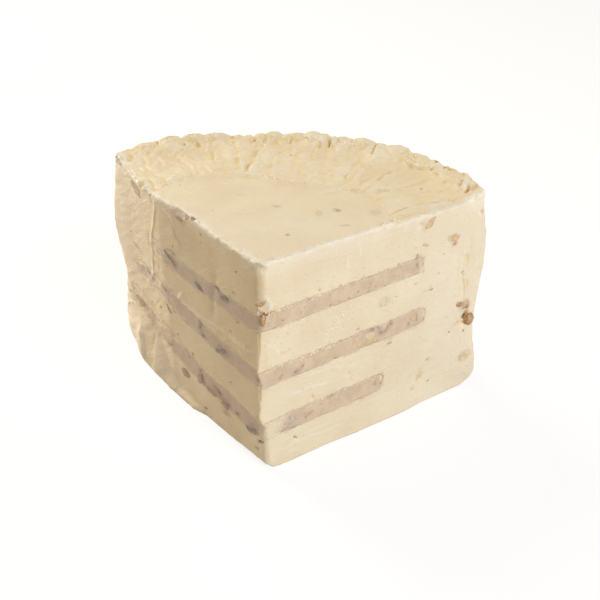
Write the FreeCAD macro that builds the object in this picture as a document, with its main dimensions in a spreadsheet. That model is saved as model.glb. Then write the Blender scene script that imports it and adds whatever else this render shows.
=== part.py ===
import FreeCAD
import Part
import Sketcher
import math
import os

# A wedge cut from a round of soft walnut cheese, lying on its flat base.
#
# The round is turned from a profile with a rounded rim and a raised middle, and knobs run round
# its top edge. Two cuts that meet behind the middle take the wedge out of it; the left cut was
# made in two strokes and bends inwards. Three discs of walnut cream lie inside, each with its own
# width and place, and show as bands on both cut faces.
#
# Millimetres. +Z up, the wedge's point towards -Y, the origin at the middle of the base.

SIZES = {
    # the round
    "round_radius": 90.0,
    "round_height": 80.5,
    "base_rounding": 10.0,
    "rim_rounding": 5.5,
    # the raised middle of the top and the knobs along its rim
    "middle_radius": 48.0,
    "middle_rise": 1.2,
    "middle_slope": 3.0,
    "knob_length": 6.5,
    "knob_width": 9.5,
    "knob_rise": 1.5,
    "knob_inset": 7.5,
    "knob_spacing": 9.5,
    # the two cuts: where they meet, seen from the round's axis, and how they run
    "point_side": 9.5,
    "point_back": 18.1,
    "wedge_angle": 94.5,
    "bend_distance": 60.7,
    "bend_angle": 9.0,
    "cut_overrun": 15.0,
    # the walnut cream, from the base up: cheese below, thickness, wall left at the rim, and how far
    # and which way the disc lies off the round's axis
    "low_cheese": 13.4,
    "low_thickness": 6.9,
    "low_wall": 8.2,
    "low_offset": 18.8,
    "low_heading": 149.0,
    "middle_cheese": 14.4,
    "middle_thickness": 6.4,
    "middle_wall": 18.4,
    "middle_offset": 5.0,
    "middle_heading": 123.0,
    "top_cheese": 15.2,
    "top_thickness": 5.9,
    "top_wall": 20.1,
    "top_offset": 7.8,
    "top_heading": 304.0,
    # from the round's axis to the origin, set once the wedge has been measured
    "shift_x": 0.0,
    "shift_y": 0.0,
}

LAYERS = ("low", "middle", "top")
KNOB_COUNT = 10
KNOB_UNEVENNESS = 0.22
KNOB_PHASE = 2.4


def make_sheet(doc):
    """Write every driving dimension into a spreadsheet, under its own name."""
    sheet = doc.addObject("Spreadsheet::Sheet", "sizes")
    for row, (name, value) in enumerate(SIZES.items(), start=1):
        sheet.set(f"A{row}", name)
        sheet.set(f"B{row}", str(value))
        sheet.setAlias(f"B{row}", name)
    doc.recompute()
    return sheet


def bind(item, **expressions):
    """Bind properties to the sheet; a double underscore in a name stands for a dot."""
    for name, expression in expressions.items():
        item.setExpression(name.replace("__", "."), expression)


def place(item, x="0", y="0", z="0"):
    """Bind an object's place, given from the round's axis."""
    bind(item, Placement__Base__x=f"sizes.shift_x + {x}", Placement__Base__y=f"sizes.shift_y + {y}",
         Placement__Base__z=z)


def make_sketch(body, plane_role, name):
    """Add a sketch on one of the body's own origin planes."""
    sketch = body.newObject("Sketcher::SketchObject", name)
    plane = next(item for item in body.Origin.OriginFeatures if item.Role == plane_role)
    sketch.AttachmentSupport = [(plane, "")]
    sketch.MapMode = "FlatFace"
    return sketch


def join_ends(sketch, joints, kind="Coincident"):
    """Join the end of one line or arc to the start of the next, touching or tangent."""
    for first, first_end, second, second_end in joints:
        sketch.addConstraint(Sketcher.Constraint(kind, first, first_end, second, second_end))


def drive(sketch, name, constraint, expression):
    """Add a dimension to a sketch and bind it to the sheet."""
    index = sketch.addConstraint(constraint)
    sketch.renameConstraint(index, name)
    sketch.setExpression(f"Constraints.{name}", expression)


def make_round(doc):
    """Turn the round from half of its upright section."""
    radius = SIZES["round_radius"]
    height = SIZES["round_height"]
    base_r = SIZES["base_rounding"]
    rim_r = SIZES["rim_rounding"]
    shelf = height - SIZES["middle_rise"]
    middle = SIZES["middle_radius"]
    corners = [(0, 0), (radius - base_r, 0), (radius, base_r), (radius, shelf - rim_r),
               (radius - rim_r, shelf), (middle + SIZES["middle_slope"], shelf), (middle, height),
               (0, height)]
    points = [FreeCAD.Vector(x, y, 0) for x, y in corners]

    body = doc.addObject("PartDesign::Body", "whole_round")
    sketch = make_sketch(body, "XZ_Plane", "round_section")

    def line(start, end):
        return sketch.addGeometry(Part.LineSegment(points[start], points[end]), False)

    def corner_arc(centre, arc_radius, start):
        circle = Part.Circle(FreeCAD.Vector(*centre, 0), FreeCAD.Vector(0, 0, 1), arc_radius)
        arc = Part.ArcOfCircle(circle, start, start + math.pi / 2)
        return sketch.addGeometry(arc, False)

    base = line(0, 1)
    base_arc = corner_arc((radius - base_r, base_r), base_r, -math.pi / 2)
    wall = line(2, 3)
    rim_arc = corner_arc((radius - rim_r, shelf - rim_r), rim_r, 0)
    shelf_line = line(4, 5)
    slope = line(5, 6)
    middle_line = line(6, 7)
    axis_line = line(7, 0)

    join_ends(sketch, [(base, 2, base_arc, 1), (base_arc, 2, wall, 1), (wall, 2, rim_arc, 1),
                       (rim_arc, 2, shelf_line, 1)], "Tangent")
    join_ends(sketch, [(shelf_line, 2, slope, 1), (slope, 2, middle_line, 1),
                       (middle_line, 2, axis_line, 1), (axis_line, 2, base, 1), (base, 1, -1, 1)])
    for item in (base, shelf_line, middle_line):
        sketch.addConstraint(Sketcher.Constraint("Horizontal", item))
    for item in (wall, axis_line):
        sketch.addConstraint(Sketcher.Constraint("Vertical", item))

    constraint = Sketcher.Constraint
    drive(sketch, "base_rounding", constraint("Radius", base_arc, base_r), "sizes.base_rounding")
    drive(sketch, "rim_rounding", constraint("Radius", rim_arc, rim_r), "sizes.rim_rounding")
    drive(sketch, "radius", constraint("DistanceX", -1, 1, wall, 1, radius), "sizes.round_radius")
    drive(sketch, "height", constraint("DistanceY", -1, 1, middle_line, 2, height),
          "sizes.round_height")
    drive(sketch, "middle", constraint("DistanceX", -1, 1, middle_line, 1, middle),
          "sizes.middle_radius")
    drive(sketch, "rise", constraint("DistanceY", slope, 1, slope, 2, SIZES["middle_rise"]),
          "sizes.middle_rise")
    drive(sketch, "slope", constraint("DistanceX", slope, 2, slope, 1, SIZES["middle_slope"]),
          "sizes.middle_slope")

    turned = body.newObject("PartDesign::Revolution", "turned_round")
    turned.Profile = sketch
    turned.ReferenceAxis = (sketch, ["V_Axis"])
    turned.Angle = 360
    place(body)
    return body


def make_knobs(doc):
    """Set a row of uneven knobs round the back of the top edge."""
    knobs = []
    for number in range(KNOB_COUNT):
        knob = doc.addObject("Part::Ellipsoid", f"knob_{number + 1}")
        unevenness = round(1 + KNOB_UNEVENNESS * math.sin(KNOB_PHASE * number), 3)
        steps_from_back = number - (KNOB_COUNT - 1) / 2
        heading = f"(90 + {steps_from_back} * sizes.knob_spacing)"
        reach = f"(sizes.round_radius - sizes.knob_inset * {unevenness})"
        bind(knob, Radius1=f"sizes.knob_rise * {unevenness}",
             Radius2=f"sizes.knob_length * {unevenness}", Radius3="sizes.knob_width",
             Placement__Rotation__Angle=f"{heading} * 1 deg")
        place(knob, f"{reach} * cos({heading} * 1 deg)", f"{reach} * sin({heading} * 1 deg)",
              "sizes.round_height - sizes.middle_rise")
        knobs.append(knob)
    return knobs


def make_wedge_block(doc):
    """Pad the plan of the two cuts, which runs past the rim, as high as the knobs reach."""
    reach = SIZES["round_radius"] + SIZES["cut_overrun"]
    half_angle = SIZES["wedge_angle"] / 2
    point = FreeCAD.Vector(SIZES["point_side"], -SIZES["point_back"], 0)

    def step(start, heading, distance):
        turn = math.radians(heading)
        return start + FreeCAD.Vector(math.cos(turn), math.sin(turn), 0) * distance

    def meet_rim(start, heading):
        turn = math.radians(heading)
        along = start.x * math.cos(turn) + start.y * math.sin(turn)
        return step(start, heading, math.sqrt(along**2 - start.Length**2 + reach**2) - along)

    bend = step(point, 90 + half_angle, SIZES["bend_distance"])
    right_end = meet_rim(point, 90 - half_angle)
    left_end = meet_rim(bend, 90 + half_angle - SIZES["bend_angle"])
    rim_circle = Part.Circle(FreeCAD.Vector(0, 0, 0), FreeCAD.Vector(0, 0, 1), reach)

    body = doc.addObject("PartDesign::Body", "wedge_block")
    sketch = make_sketch(body, "XY_Plane", "wedge_plan")
    right_cut = sketch.addGeometry(Part.LineSegment(point, right_end), False)
    rim = sketch.addGeometry(
        Part.ArcOfCircle(rim_circle, math.atan2(right_end.y, right_end.x),
                         math.atan2(left_end.y, left_end.x)), False)
    far_stroke = sketch.addGeometry(Part.LineSegment(bend, left_end), False)
    near_stroke = sketch.addGeometry(Part.LineSegment(point, bend), False)
    join_ends(sketch, [(right_cut, 2, rim, 1), (rim, 2, far_stroke, 2),
                       (far_stroke, 1, near_stroke, 2), (near_stroke, 1, right_cut, 1),
                       (rim, 3, -1, 1)])

    constraint = Sketcher.Constraint
    drive(sketch, "reach", constraint("Radius", rim, reach),
          "sizes.round_radius + sizes.cut_overrun")
    drive(sketch, "side", constraint("DistanceX", -1, 1, right_cut, 1, point.x),
          "sizes.point_side")
    drive(sketch, "back", constraint("DistanceY", right_cut, 1, -1, 1, -point.y),
          "sizes.point_back")
    drive(sketch, "right_heading", constraint("Angle", right_cut, math.radians(90 - half_angle)),
          "(90 - sizes.wedge_angle / 2) * 1 deg")
    drive(sketch, "left_heading", constraint("Angle", near_stroke, math.radians(90 + half_angle)),
          "(90 + sizes.wedge_angle / 2) * 1 deg")
    drive(sketch, "far_heading",
          constraint("Angle", far_stroke, math.radians(90 + half_angle - SIZES["bend_angle"])),
          "(90 + sizes.wedge_angle / 2 - sizes.bend_angle) * 1 deg")
    drive(sketch, "bend", constraint("Distance", near_stroke, SIZES["bend_distance"]),
          "sizes.bend_distance")

    pad = body.newObject("PartDesign::Pad", "wedge_pad")
    pad.Profile = sketch
    pad.setExpression("Length", "sizes.round_height + sizes.knob_rise * 2")
    place(body)
    return body


def make_layers(doc, wedge_block):
    """Cut three discs of walnut cream with the wedge's own two cuts."""
    layers = []
    top_of_last = "0"
    for name in LAYERS:
        disc = doc.addObject("Part::Cylinder", f"{name}_disc")
        bottom = f"{top_of_last} + sizes.{name}_cheese"
        heading = f"sizes.{name}_heading * 1 deg"
        bind(disc, Height=f"sizes.{name}_thickness",
             Radius=f"sizes.round_radius - sizes.{name}_wall - sizes.{name}_offset")
        place(disc, f"sizes.{name}_offset * cos({heading})", f"sizes.{name}_offset * sin({heading})",
              bottom)
        layer = doc.addObject("Part::Common", f"walnut_layer_{name}")
        layer.Base = disc
        layer.Tool = wedge_block
        layers.append(layer)
        top_of_last = f"{bottom} + sizes.{name}_thickness"
    return layers


def make_cheese(doc, whole_round, knobs, wedge_block, layers):
    """Cut the wedge out of the knobbed round and open it for each layer."""
    knobbed = doc.addObject("Part::MultiFuse", "knobbed_round")
    knobbed.Shapes = [whole_round] + knobs
    wedge = doc.addObject("Part::Common", "solid_wedge")
    wedge.Base = knobbed
    wedge.Tool = wedge_block
    for layer in layers:
        opened = doc.addObject("Part::Cut", f"opened_for_{layer.Name}")
        opened.Base = wedge
        opened.Tool = layer
        wedge = opened
    return wedge


def check(doc, nodes):
    """Stop on a failed feature or on a sub-part that isn't one valid solid."""
    for item in doc.Objects:
        if {"Invalid", "Error"} & set(item.State):
            raise RuntimeError(f"{item.Label} is {item.State}")
    for node in nodes:
        shape = node.Shape
        if shape.isNull() or not shape.isValid() or len(shape.Solids) != 1:
            raise RuntimeError(f"{node.Label} is not one valid solid")


def main():
    doc = FreeCAD.newDocument("walnut_cheese")
    sheet = make_sheet(doc)
    whole_round = make_round(doc)
    wedge_block = make_wedge_block(doc)
    layers = make_layers(doc, wedge_block)
    cheese = make_cheese(doc, whole_round, make_knobs(doc), wedge_block, layers)
    cheese.Label = "cheese"
    for layer in layers:
        layer.Label = layer.Name
    doc.recompute()

    box = cheese.Shape.optimalBoundingBox()
    sheet.set("shift_x", str(-box.Center.x))
    sheet.set("shift_y", str(-box.Center.y))
    doc.recompute()

    nodes = [cheese] + layers
    check(doc, nodes)
    os.makedirs("parts", exist_ok=True)
    for node in nodes:
        node.Shape.exportStep(f"parts/{node.Label}.step")
        box = node.Shape.optimalBoundingBox()
        print(f"{node.Label}: {node.Shape.Volume / 1000:.2f} cm3, x {box.XMin:.2f} to {box.XMax:.2f}, "
              f"y {box.YMin:.2f} to {box.YMax:.2f}, z {box.ZMin:.2f} to {box.ZMax:.2f}")


main()
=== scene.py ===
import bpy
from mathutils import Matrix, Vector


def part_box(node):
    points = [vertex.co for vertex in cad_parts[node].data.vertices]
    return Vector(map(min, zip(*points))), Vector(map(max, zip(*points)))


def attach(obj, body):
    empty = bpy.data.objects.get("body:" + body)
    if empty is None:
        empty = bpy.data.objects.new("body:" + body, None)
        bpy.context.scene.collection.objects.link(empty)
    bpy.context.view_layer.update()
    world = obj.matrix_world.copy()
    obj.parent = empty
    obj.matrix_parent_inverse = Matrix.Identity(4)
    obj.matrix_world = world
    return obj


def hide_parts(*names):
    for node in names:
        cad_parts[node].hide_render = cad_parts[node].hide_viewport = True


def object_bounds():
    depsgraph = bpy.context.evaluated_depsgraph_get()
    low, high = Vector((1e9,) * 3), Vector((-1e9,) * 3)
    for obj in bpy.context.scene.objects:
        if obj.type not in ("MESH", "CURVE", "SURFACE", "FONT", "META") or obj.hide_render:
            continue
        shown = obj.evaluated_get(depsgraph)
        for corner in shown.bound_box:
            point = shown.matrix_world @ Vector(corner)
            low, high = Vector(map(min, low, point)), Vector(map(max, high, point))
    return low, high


bl_info = {
    "name": "Walnut cheese wedge",
    "version": (1, 0, 0),
    "blender": (4, 5, 0),
    "location": "View3D > Sidebar > Walnut cheese",
    "description": "Builds the looks of a wedge of soft walnut cheese round its packed frame",
    "category": "Add Mesh",
}

import itertools
import math

import bmesh
import bpy
import numpy as np
from bpy.props import FloatProperty, FloatVectorProperty, IntProperty, PointerProperty
from mathutils import Matrix, Vector
from mathutils.bvhtree import BVHTree

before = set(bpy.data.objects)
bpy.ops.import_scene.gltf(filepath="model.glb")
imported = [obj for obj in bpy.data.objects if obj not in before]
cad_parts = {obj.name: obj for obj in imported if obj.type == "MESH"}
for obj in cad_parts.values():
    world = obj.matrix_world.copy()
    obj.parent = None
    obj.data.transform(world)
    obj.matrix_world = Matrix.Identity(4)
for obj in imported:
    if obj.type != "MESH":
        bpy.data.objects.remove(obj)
CAD_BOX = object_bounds()
BOX_HIGH = CAD_BOX[1]
LAYERS = ("walnut_layer_low", "walnut_layer_middle", "walnut_layer_top")


# ---------------- sizes and colours

class CheeseSizes(bpy.types.PropertyGroup):
    """Sizes of the wedge that a user would change, in metres and degrees."""
    round_radius: FloatProperty(
        name="Round's radius", description="Radius of the round that the wedge is cut from",
        default=0.090, unit="LENGTH")
    height: FloatProperty(
        name="Height", description="Height of the middle of the top", default=0.0805, unit="LENGTH")
    wedge_angle: FloatProperty(
        name="Wedge angle", description="Angle between the two cuts at the point",
        default=math.radians(94.5), subtype="ANGLE")
    bend_distance: FloatProperty(
        name="Bend distance", description="From the point to the bend in the left cut",
        default=0.0607, unit="LENGTH")
    bend_angle: FloatProperty(
        name="Bend angle", description="How far the left cut turns inwards at its bend",
        default=math.radians(9.0), subtype="ANGLE")
    rim_rounding: FloatProperty(
        name="Rim rounding", description="Rounding of the top edge of the rim",
        default=0.0055, unit="LENGTH")
    base_rounding: FloatProperty(
        name="Base rounding", description="Rounding of the bottom edge of the rim",
        default=0.010, unit="LENGTH")
    grain: FloatProperty(
        name="Sculpting grain", description="Size of a face while the wedge is sculpted",
        default=0.0006, unit="LENGTH")


class CheeseColours(bpy.types.PropertyGroup):
    """Colours of the cheese, the walnut cream, the nuts and the stage."""
    cheese: FloatVectorProperty(
        name="Cheese", description="Ivory of the cheese", subtype="COLOR", size=3,
        default=(0.86, 0.71, 0.455))
    cream: FloatVectorProperty(
        name="Walnut cream", description="Pinkish beige of the layers", subtype="COLOR", size=3,
        default=(0.71, 0.53, 0.33))
    floor: FloatVectorProperty(
        name="Floor", description="Plain pale floor", subtype="COLOR", size=3,
        default=(0.72, 0.65, 0.56))


MM = 0.001


def sizes():
    """The sizes that the sidebar shows."""
    return bpy.context.scene.cheese_sizes


def colours():
    """The colours that the sidebar shows."""
    return bpy.context.scene.cheese_colours


# ---------------- the wedge's plan

def heading(angle):
    """The way that an angle in the plan points."""
    return np.array([math.cos(angle), math.sin(angle)])


class Plan:
    """Where the cuts and the round's axis lie, in millimetres of the row frame."""

    def __init__(self):
        s = sizes()
        corners = [v.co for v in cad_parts["cheese"].data.vertices]
        point = min(corners, key=lambda co: co.y)
        half = s.wedge_angle / 2
        self.radius = s.round_radius / MM
        self.height = s.height / MM
        self.bend_distance = s.bend_distance / MM
        self.point = np.array([point.x, point.y]) / MM
        self.right_way = heading(math.pi / 2 - half)
        self.left_way = heading(math.pi / 2 + half)
        self.far_way = heading(math.pi / 2 + half - s.bend_angle)
        self.bend = self.point + self.left_way * self.bend_distance
        right_end_x = BOX_HIGH.x / MM
        along = (right_end_x - self.point[0]) / self.right_way[0]
        right_end = self.point + self.right_way * along
        drop = self.radius**2 - (BOX_HIGH.y / MM - self.radius - right_end[1])**2
        self.axis = np.array([right_end_x - math.sqrt(drop), BOX_HIGH.y / MM - self.radius])
        self.right_normal = np.array([self.right_way[1], -self.right_way[0]])
        self.left_normal = np.array([-self.left_way[1], self.left_way[0]])
        self.far_normal = np.array([-self.far_way[1], self.far_way[0]])


# ---------------- modelling helpers

def start_fresh():
    """Leave edit mode and select nothing."""
    if bpy.context.object and bpy.context.object.mode != "OBJECT":
        bpy.ops.object.mode_set(mode="OBJECT")
    bpy.ops.object.select_all(action="DESELECT")


def only(piece):
    """Select one piece and make it the active one."""
    start_fresh()
    piece.select_set(True)
    bpy.context.view_layer.objects.active = piece


def apply_modifier(piece, kind, **settings):
    only(piece)
    modifier = piece.modifiers.new(kind.lower(), kind)
    for name, value in settings.items():
        setattr(modifier, name, value)
    bpy.ops.object.modifier_apply(modifier=modifier.name)


def place_in_mesh(piece):
    """Move a new piece's place, turn and scale into its mesh."""
    only(piece)
    bpy.ops.object.transform_apply(location=True, rotation=True, scale=True)


def join(pieces):
    """Join pieces into the first of them."""
    start_fresh()
    for piece in pieces:
        piece.select_set(True)
    bpy.context.view_layer.objects.active = pieces[0]
    bpy.ops.object.join()
    return bpy.context.object


def call(piece, name):
    """Name a piece and its mesh."""
    piece.name = name
    piece.data.name = name


def ball(subdivisions):
    """A ball of 1 mm radius, to shape a bit from."""
    start_fresh()
    bpy.ops.mesh.primitive_ico_sphere_add(subdivisions=subdivisions, radius=MM)
    return bpy.context.object


def get_points(mesh):
    """The points of a mesh in millimetres."""
    co = np.empty(len(mesh.vertices) * 3, np.float32)
    mesh.vertices.foreach_get("co", co)
    return co.reshape(-1, 3).astype(float) / MM


def set_points(mesh, points):
    mesh.vertices.foreach_set("co", (points * MM).astype(np.float32).ravel())
    mesh.update()


def select_ring(piece, z):
    """Select the edges that lie at one height."""
    bm = bmesh.from_edit_mesh(piece.data)
    for item in itertools.chain(bm.verts, bm.edges, bm.faces):
        item.select = False
    for edge in bm.edges:
        edge.select = all(abs(vert.co.z - z) < 1e-6 for vert in edge.verts)
    bm.select_flush(True)
    bmesh.update_edit_mesh(piece.data)


# straight sides of the round before it is remeshed
ROUND_SIDES = 240
# flats of the roundings of its top and bottom edges
TOP_FLATS, BOTTOM_FLATS = 6, 8
# how far each worn corner at the foot of the point reaches up, left and right, in mm
WORN_CORNERS = ((3.0, 30.0, 3.4), (5.0, 3.2, 3.0))


def block_out(plan):
    """Turn a round, round its two edges and cut the wedge out with three straight strokes."""
    s = sizes()
    start_fresh()
    bpy.ops.mesh.primitive_cylinder_add(
        vertices=ROUND_SIDES, radius=s.round_radius, depth=s.height,
        location=(plan.axis[0] * MM, plan.axis[1] * MM, s.height / 2))
    block = bpy.context.object
    place_in_mesh(block)
    bpy.ops.object.mode_set(mode="EDIT")
    bpy.ops.mesh.select_mode(type="EDGE")
    edges = ((s.height, s.rim_rounding, TOP_FLATS), (0.0, s.base_rounding, BOTTOM_FLATS))
    for z, rounding, segments in edges:
        select_ring(block, z)
        bpy.ops.mesh.bevel(offset=rounding, segments=segments, affect="EDGES")
    for spot, normal in ((plan.point, plan.right_normal), (plan.point, plan.left_normal),
                         (plan.bend, plan.far_normal)):
        bpy.ops.mesh.select_all(action="SELECT")
        bpy.ops.mesh.bisect(plane_co=(*(spot * MM), 0), plane_no=(*normal, 0), use_fill=True,
                            clear_outer=True)
    chip_corners(plan)
    bpy.ops.object.mode_set(mode="OBJECT")
    lumpy_rim(plan, block)
    apply_modifier(block, "REMESH", mode="VOXEL", voxel_size=s.grain)
    return block


def chip_corners(plan):
    """Take off the corners of the base that are worn at the point."""
    base = np.array([*plan.point, 0.0])
    left, right = np.array([*plan.left_way, 0.0]), np.array([*plan.right_way, 0.0])
    up = np.array([0.0, 0.0, 1.0])
    middle = np.array([0.0, 0.0, plan.height / 2])
    for rise, to_left, to_right in WORN_CORNERS:
        first = base + up * rise
        normal = np.cross(base + left * to_left - first, base + right * to_right - first)
        normal /= np.linalg.norm(normal)
        if normal @ (first - middle) < 0:
            normal = -normal
        bpy.ops.mesh.select_all(action="SELECT")
        bpy.ops.mesh.bisect(plane_co=first * MM, plane_no=normal, use_fill=True, clear_outer=True)


# ---------------- noise

def lattice_values(cells, seed):
    """A repeatable pseudo-random direction for each cell corner."""
    x, y, z = (cells[:, k].astype(np.uint64) for k in range(3))
    mixed = x * np.uint64(73856093) ^ y * np.uint64(19349663) ^ z * np.uint64(83492791)
    mixed = (mixed + np.uint64(seed * 7919 + 13)) * np.uint64(2654435761)
    mixed ^= mixed >> np.uint64(15)
    mixed *= np.uint64(2246822519)
    mixed ^= mixed >> np.uint64(13)
    turn = (mixed & np.uint64(1023)).astype(float) * (2 * np.pi / 1024)
    lift = ((mixed >> np.uint64(10)) & np.uint64(1023)).astype(float) / 511.5 - 1
    flat = np.sqrt(np.maximum(0, 1 - lift**2))
    return np.stack([flat * np.cos(turn), flat * np.sin(turn), lift], axis=1)


def noise(points, scale, seed):
    """Smooth noise between about -1 and 1, with lumps about one scale wide."""
    place = points / np.asarray(scale, float) + 1000.0 + seed * 17.31
    cell = np.floor(place).astype(np.int64)
    inside = place - cell
    fade = inside**3 * (inside * (inside * 6 - 15) + 10)
    total = np.zeros(len(points))
    for corner in itertools.product((0, 1), repeat=3):
        offset = np.array(corner)
        way = lattice_values(cell + offset, seed)
        share = np.prod(np.where(offset == 1, fade, 1 - fade), axis=1)
        total += share * np.einsum("ij,ij->i", way, inside - offset)
    return total * 1.6


def rough(points, scale, seed, octaves=3, gain=0.5):
    """Noise on noise, each octave half as wide and half as strong as the last."""
    total = 0
    weight = 1
    for octave in range(octaves):
        total = total + weight * noise(points, np.asarray(scale, float) / 2**octave, seed + octave)
        weight *= gain
    return total


def billow(points, scale, seed, octaves=2):
    """Round lumps with sharp valleys between them, from about -0.6 to 0.6."""
    total = 0
    weight = 1
    for octave in range(octaves):
        layer = noise(points, np.asarray(scale, float) / 2**octave, seed + octave)
        total = total + weight * (np.abs(layer) * 2 - 0.6)
        weight *= 0.45
    return total


def wander(points, scale, seeds, octaves):
    """Two rough values at each point, to move it about on its face."""
    return np.column_stack([rough(points, scale, seed, octaves) for seed in seeds])


def in_space(*columns):
    """Points or ways that lie in a plane, with a third coordinate of zero."""
    flat = np.column_stack(columns)
    return np.column_stack([flat, np.zeros(len(flat))])


def follow(table, value):
    """Read a table of places and amounts at each value, with straight lines between."""
    return np.interp(value, *np.array(table, float).T)


def ramp(value, start, end):
    """A smooth step from 0 at the start to 1 at the end."""
    t = np.clip((value - start) / (end - start), 0, 1)
    return t * t * (3 - 2 * t)


# ---------------- strokes on a face

def curve_through(path, step=0.7):
    """Points along a smooth curve through a stroke's points."""
    knots = np.array(path, float)
    if len(knots) == 2:
        count = max(2, int(np.linalg.norm(knots[1] - knots[0]) / step))
        return knots[0] + (knots[1] - knots[0]) * np.linspace(0, 1, count)[:, None]
    padded = np.vstack([2 * knots[0] - knots[1], knots, 2 * knots[-1] - knots[-2]])
    points = []
    for a, b, c, d in zip(padded, padded[1:], padded[2:], padded[3:]):
        count = max(2, int(np.linalg.norm(c - b) / step))
        t = np.linspace(0, 1, count, endpoint=False)[:, None]
        points.append(0.5 * (2 * b + (c - a) * t + (2 * a - 5 * b + 4 * c - d) * t**2
                             + (3 * b - a - 3 * c + d) * t**3))
    return np.vstack(points + [knots[-1:]])


def near_curve(uv, path, reach):
    """Which points lie near a curve, how far on its left side, and how far along it."""
    curve = curve_through(path)
    low, high = curve.min(axis=0) - reach, curve.max(axis=0) + reach
    near = np.nonzero(np.all((uv > low) & (uv < high), axis=1))[0]
    starts, ways = curve[:-1], np.diff(curve, axis=0)
    lengths = np.linalg.norm(ways, axis=1)
    best = np.full(len(near), 1e9)
    side = np.zeros(len(near))
    along = np.zeros(len(near))
    before = 0.0
    for start, way, length in zip(starts, ways, lengths):
        to = uv[near] - start
        t = np.clip(to @ way / length**2, 0, 1)
        gap = to - t[:, None] * way
        far = np.hypot(gap[:, 0], gap[:, 1])
        closer = far < best
        cross = way[0] * to[:, 1] - way[1] * to[:, 0]
        best = np.where(closer, far, best)
        side = np.where(closer, np.where(cross >= 0, 1.0, -1.0), side)
        along = np.where(closer, before + t * length, along)
        before += length
    kept = best < reach
    return near[kept], (best * side)[kept], along[kept], before


def stroke_shape(kind, away, width, reach):
    """Height across a stroke, from the distance to the left of it."""
    size = np.abs(away)
    if kind == "ridge":
        return np.exp(-(size / width)**2)
    if kind == "crease":
        return -np.exp(-size / width)
    if kind == "groove":
        return -np.exp(-(size / width)**2)
    if kind == "fold":
        crest = np.where(away >= 0, np.exp(-size / reach), np.exp(-(size / width)**2))
        return crest - 0.55 * np.exp(-((away + 1.7 * width) / width)**2)
    raise ValueError(kind)


def draw_strokes(uv, strokes, seed):
    """The height that a list of strokes adds at each point of a face."""
    flat = in_space(uv)
    wobble = wander(flat, 5.0, (seed, seed + 40), 3)
    uv = uv + 0.7 * wobble
    height = np.zeros(len(uv))
    for number, (kind, width, size, *reach, path) in enumerate(strokes):
        reach = reach[0] if reach else 1.0
        far = max(4 * width, 3 * reach)
        near, away, along, length = near_curve(uv, path, far)
        if not len(near):
            continue
        shape = stroke_shape(kind, away, width, reach)
        edge = min(6.0, 0.3 * length)
        taper = ramp(along, -0.01, edge) * ramp(length - along, -0.01, edge)
        line = in_space(along, np.full(len(along), number * 9.0))
        vary = 1 + 0.45 * noise(line, 5.0, seed + 80)
        fade = ramp(far - np.abs(away), 0, far * 0.3)
        height[near] += size * shape * taper * vary * fade
    return height


def draw_dabs(uv, dabs):
    """The height that round bumps and pits add: (u, v, length, breadth, turn, height)."""
    height = np.zeros(len(uv))
    for u, v, length, breadth, turn, size in dabs:
        c, s = math.cos(math.radians(turn)), math.sin(math.radians(turn))
        du, dv = uv[:, 0] - u, uv[:, 1] - v
        a = (du * c + dv * s) / (length / 2)
        b = (dv * c - du * s) / (breadth / 2)
        height += size * np.exp(-(a * a + b * b)**1.5)
    return height


# ---------------- features, in mm

# A stroke is its kind, width and height, then for a fold the reach of its gentle left side,
# and its points. A dab is its place, length, breadth, turn in degrees, and height.
# Points on the top are x and y of the row frame. Points on a cut are the distance from the
# front edge and the height.

# the edge of the raised middle of the top
PLATEAU_LIP = (
    (39, -17), (37.5, -14), (36.5, -11), (35, -8), (33, -4.8), (30, -3), (26, -0.5), (21, 2.5),
    (16, 5), (11, 6.5), (5, 7), (-2, 8.5), (-8, 10), (-15, 10.8), (-22, 10.5), (-28, 8), (-33, 4),
    (-38, -2), (-44, -9),
)

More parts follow.
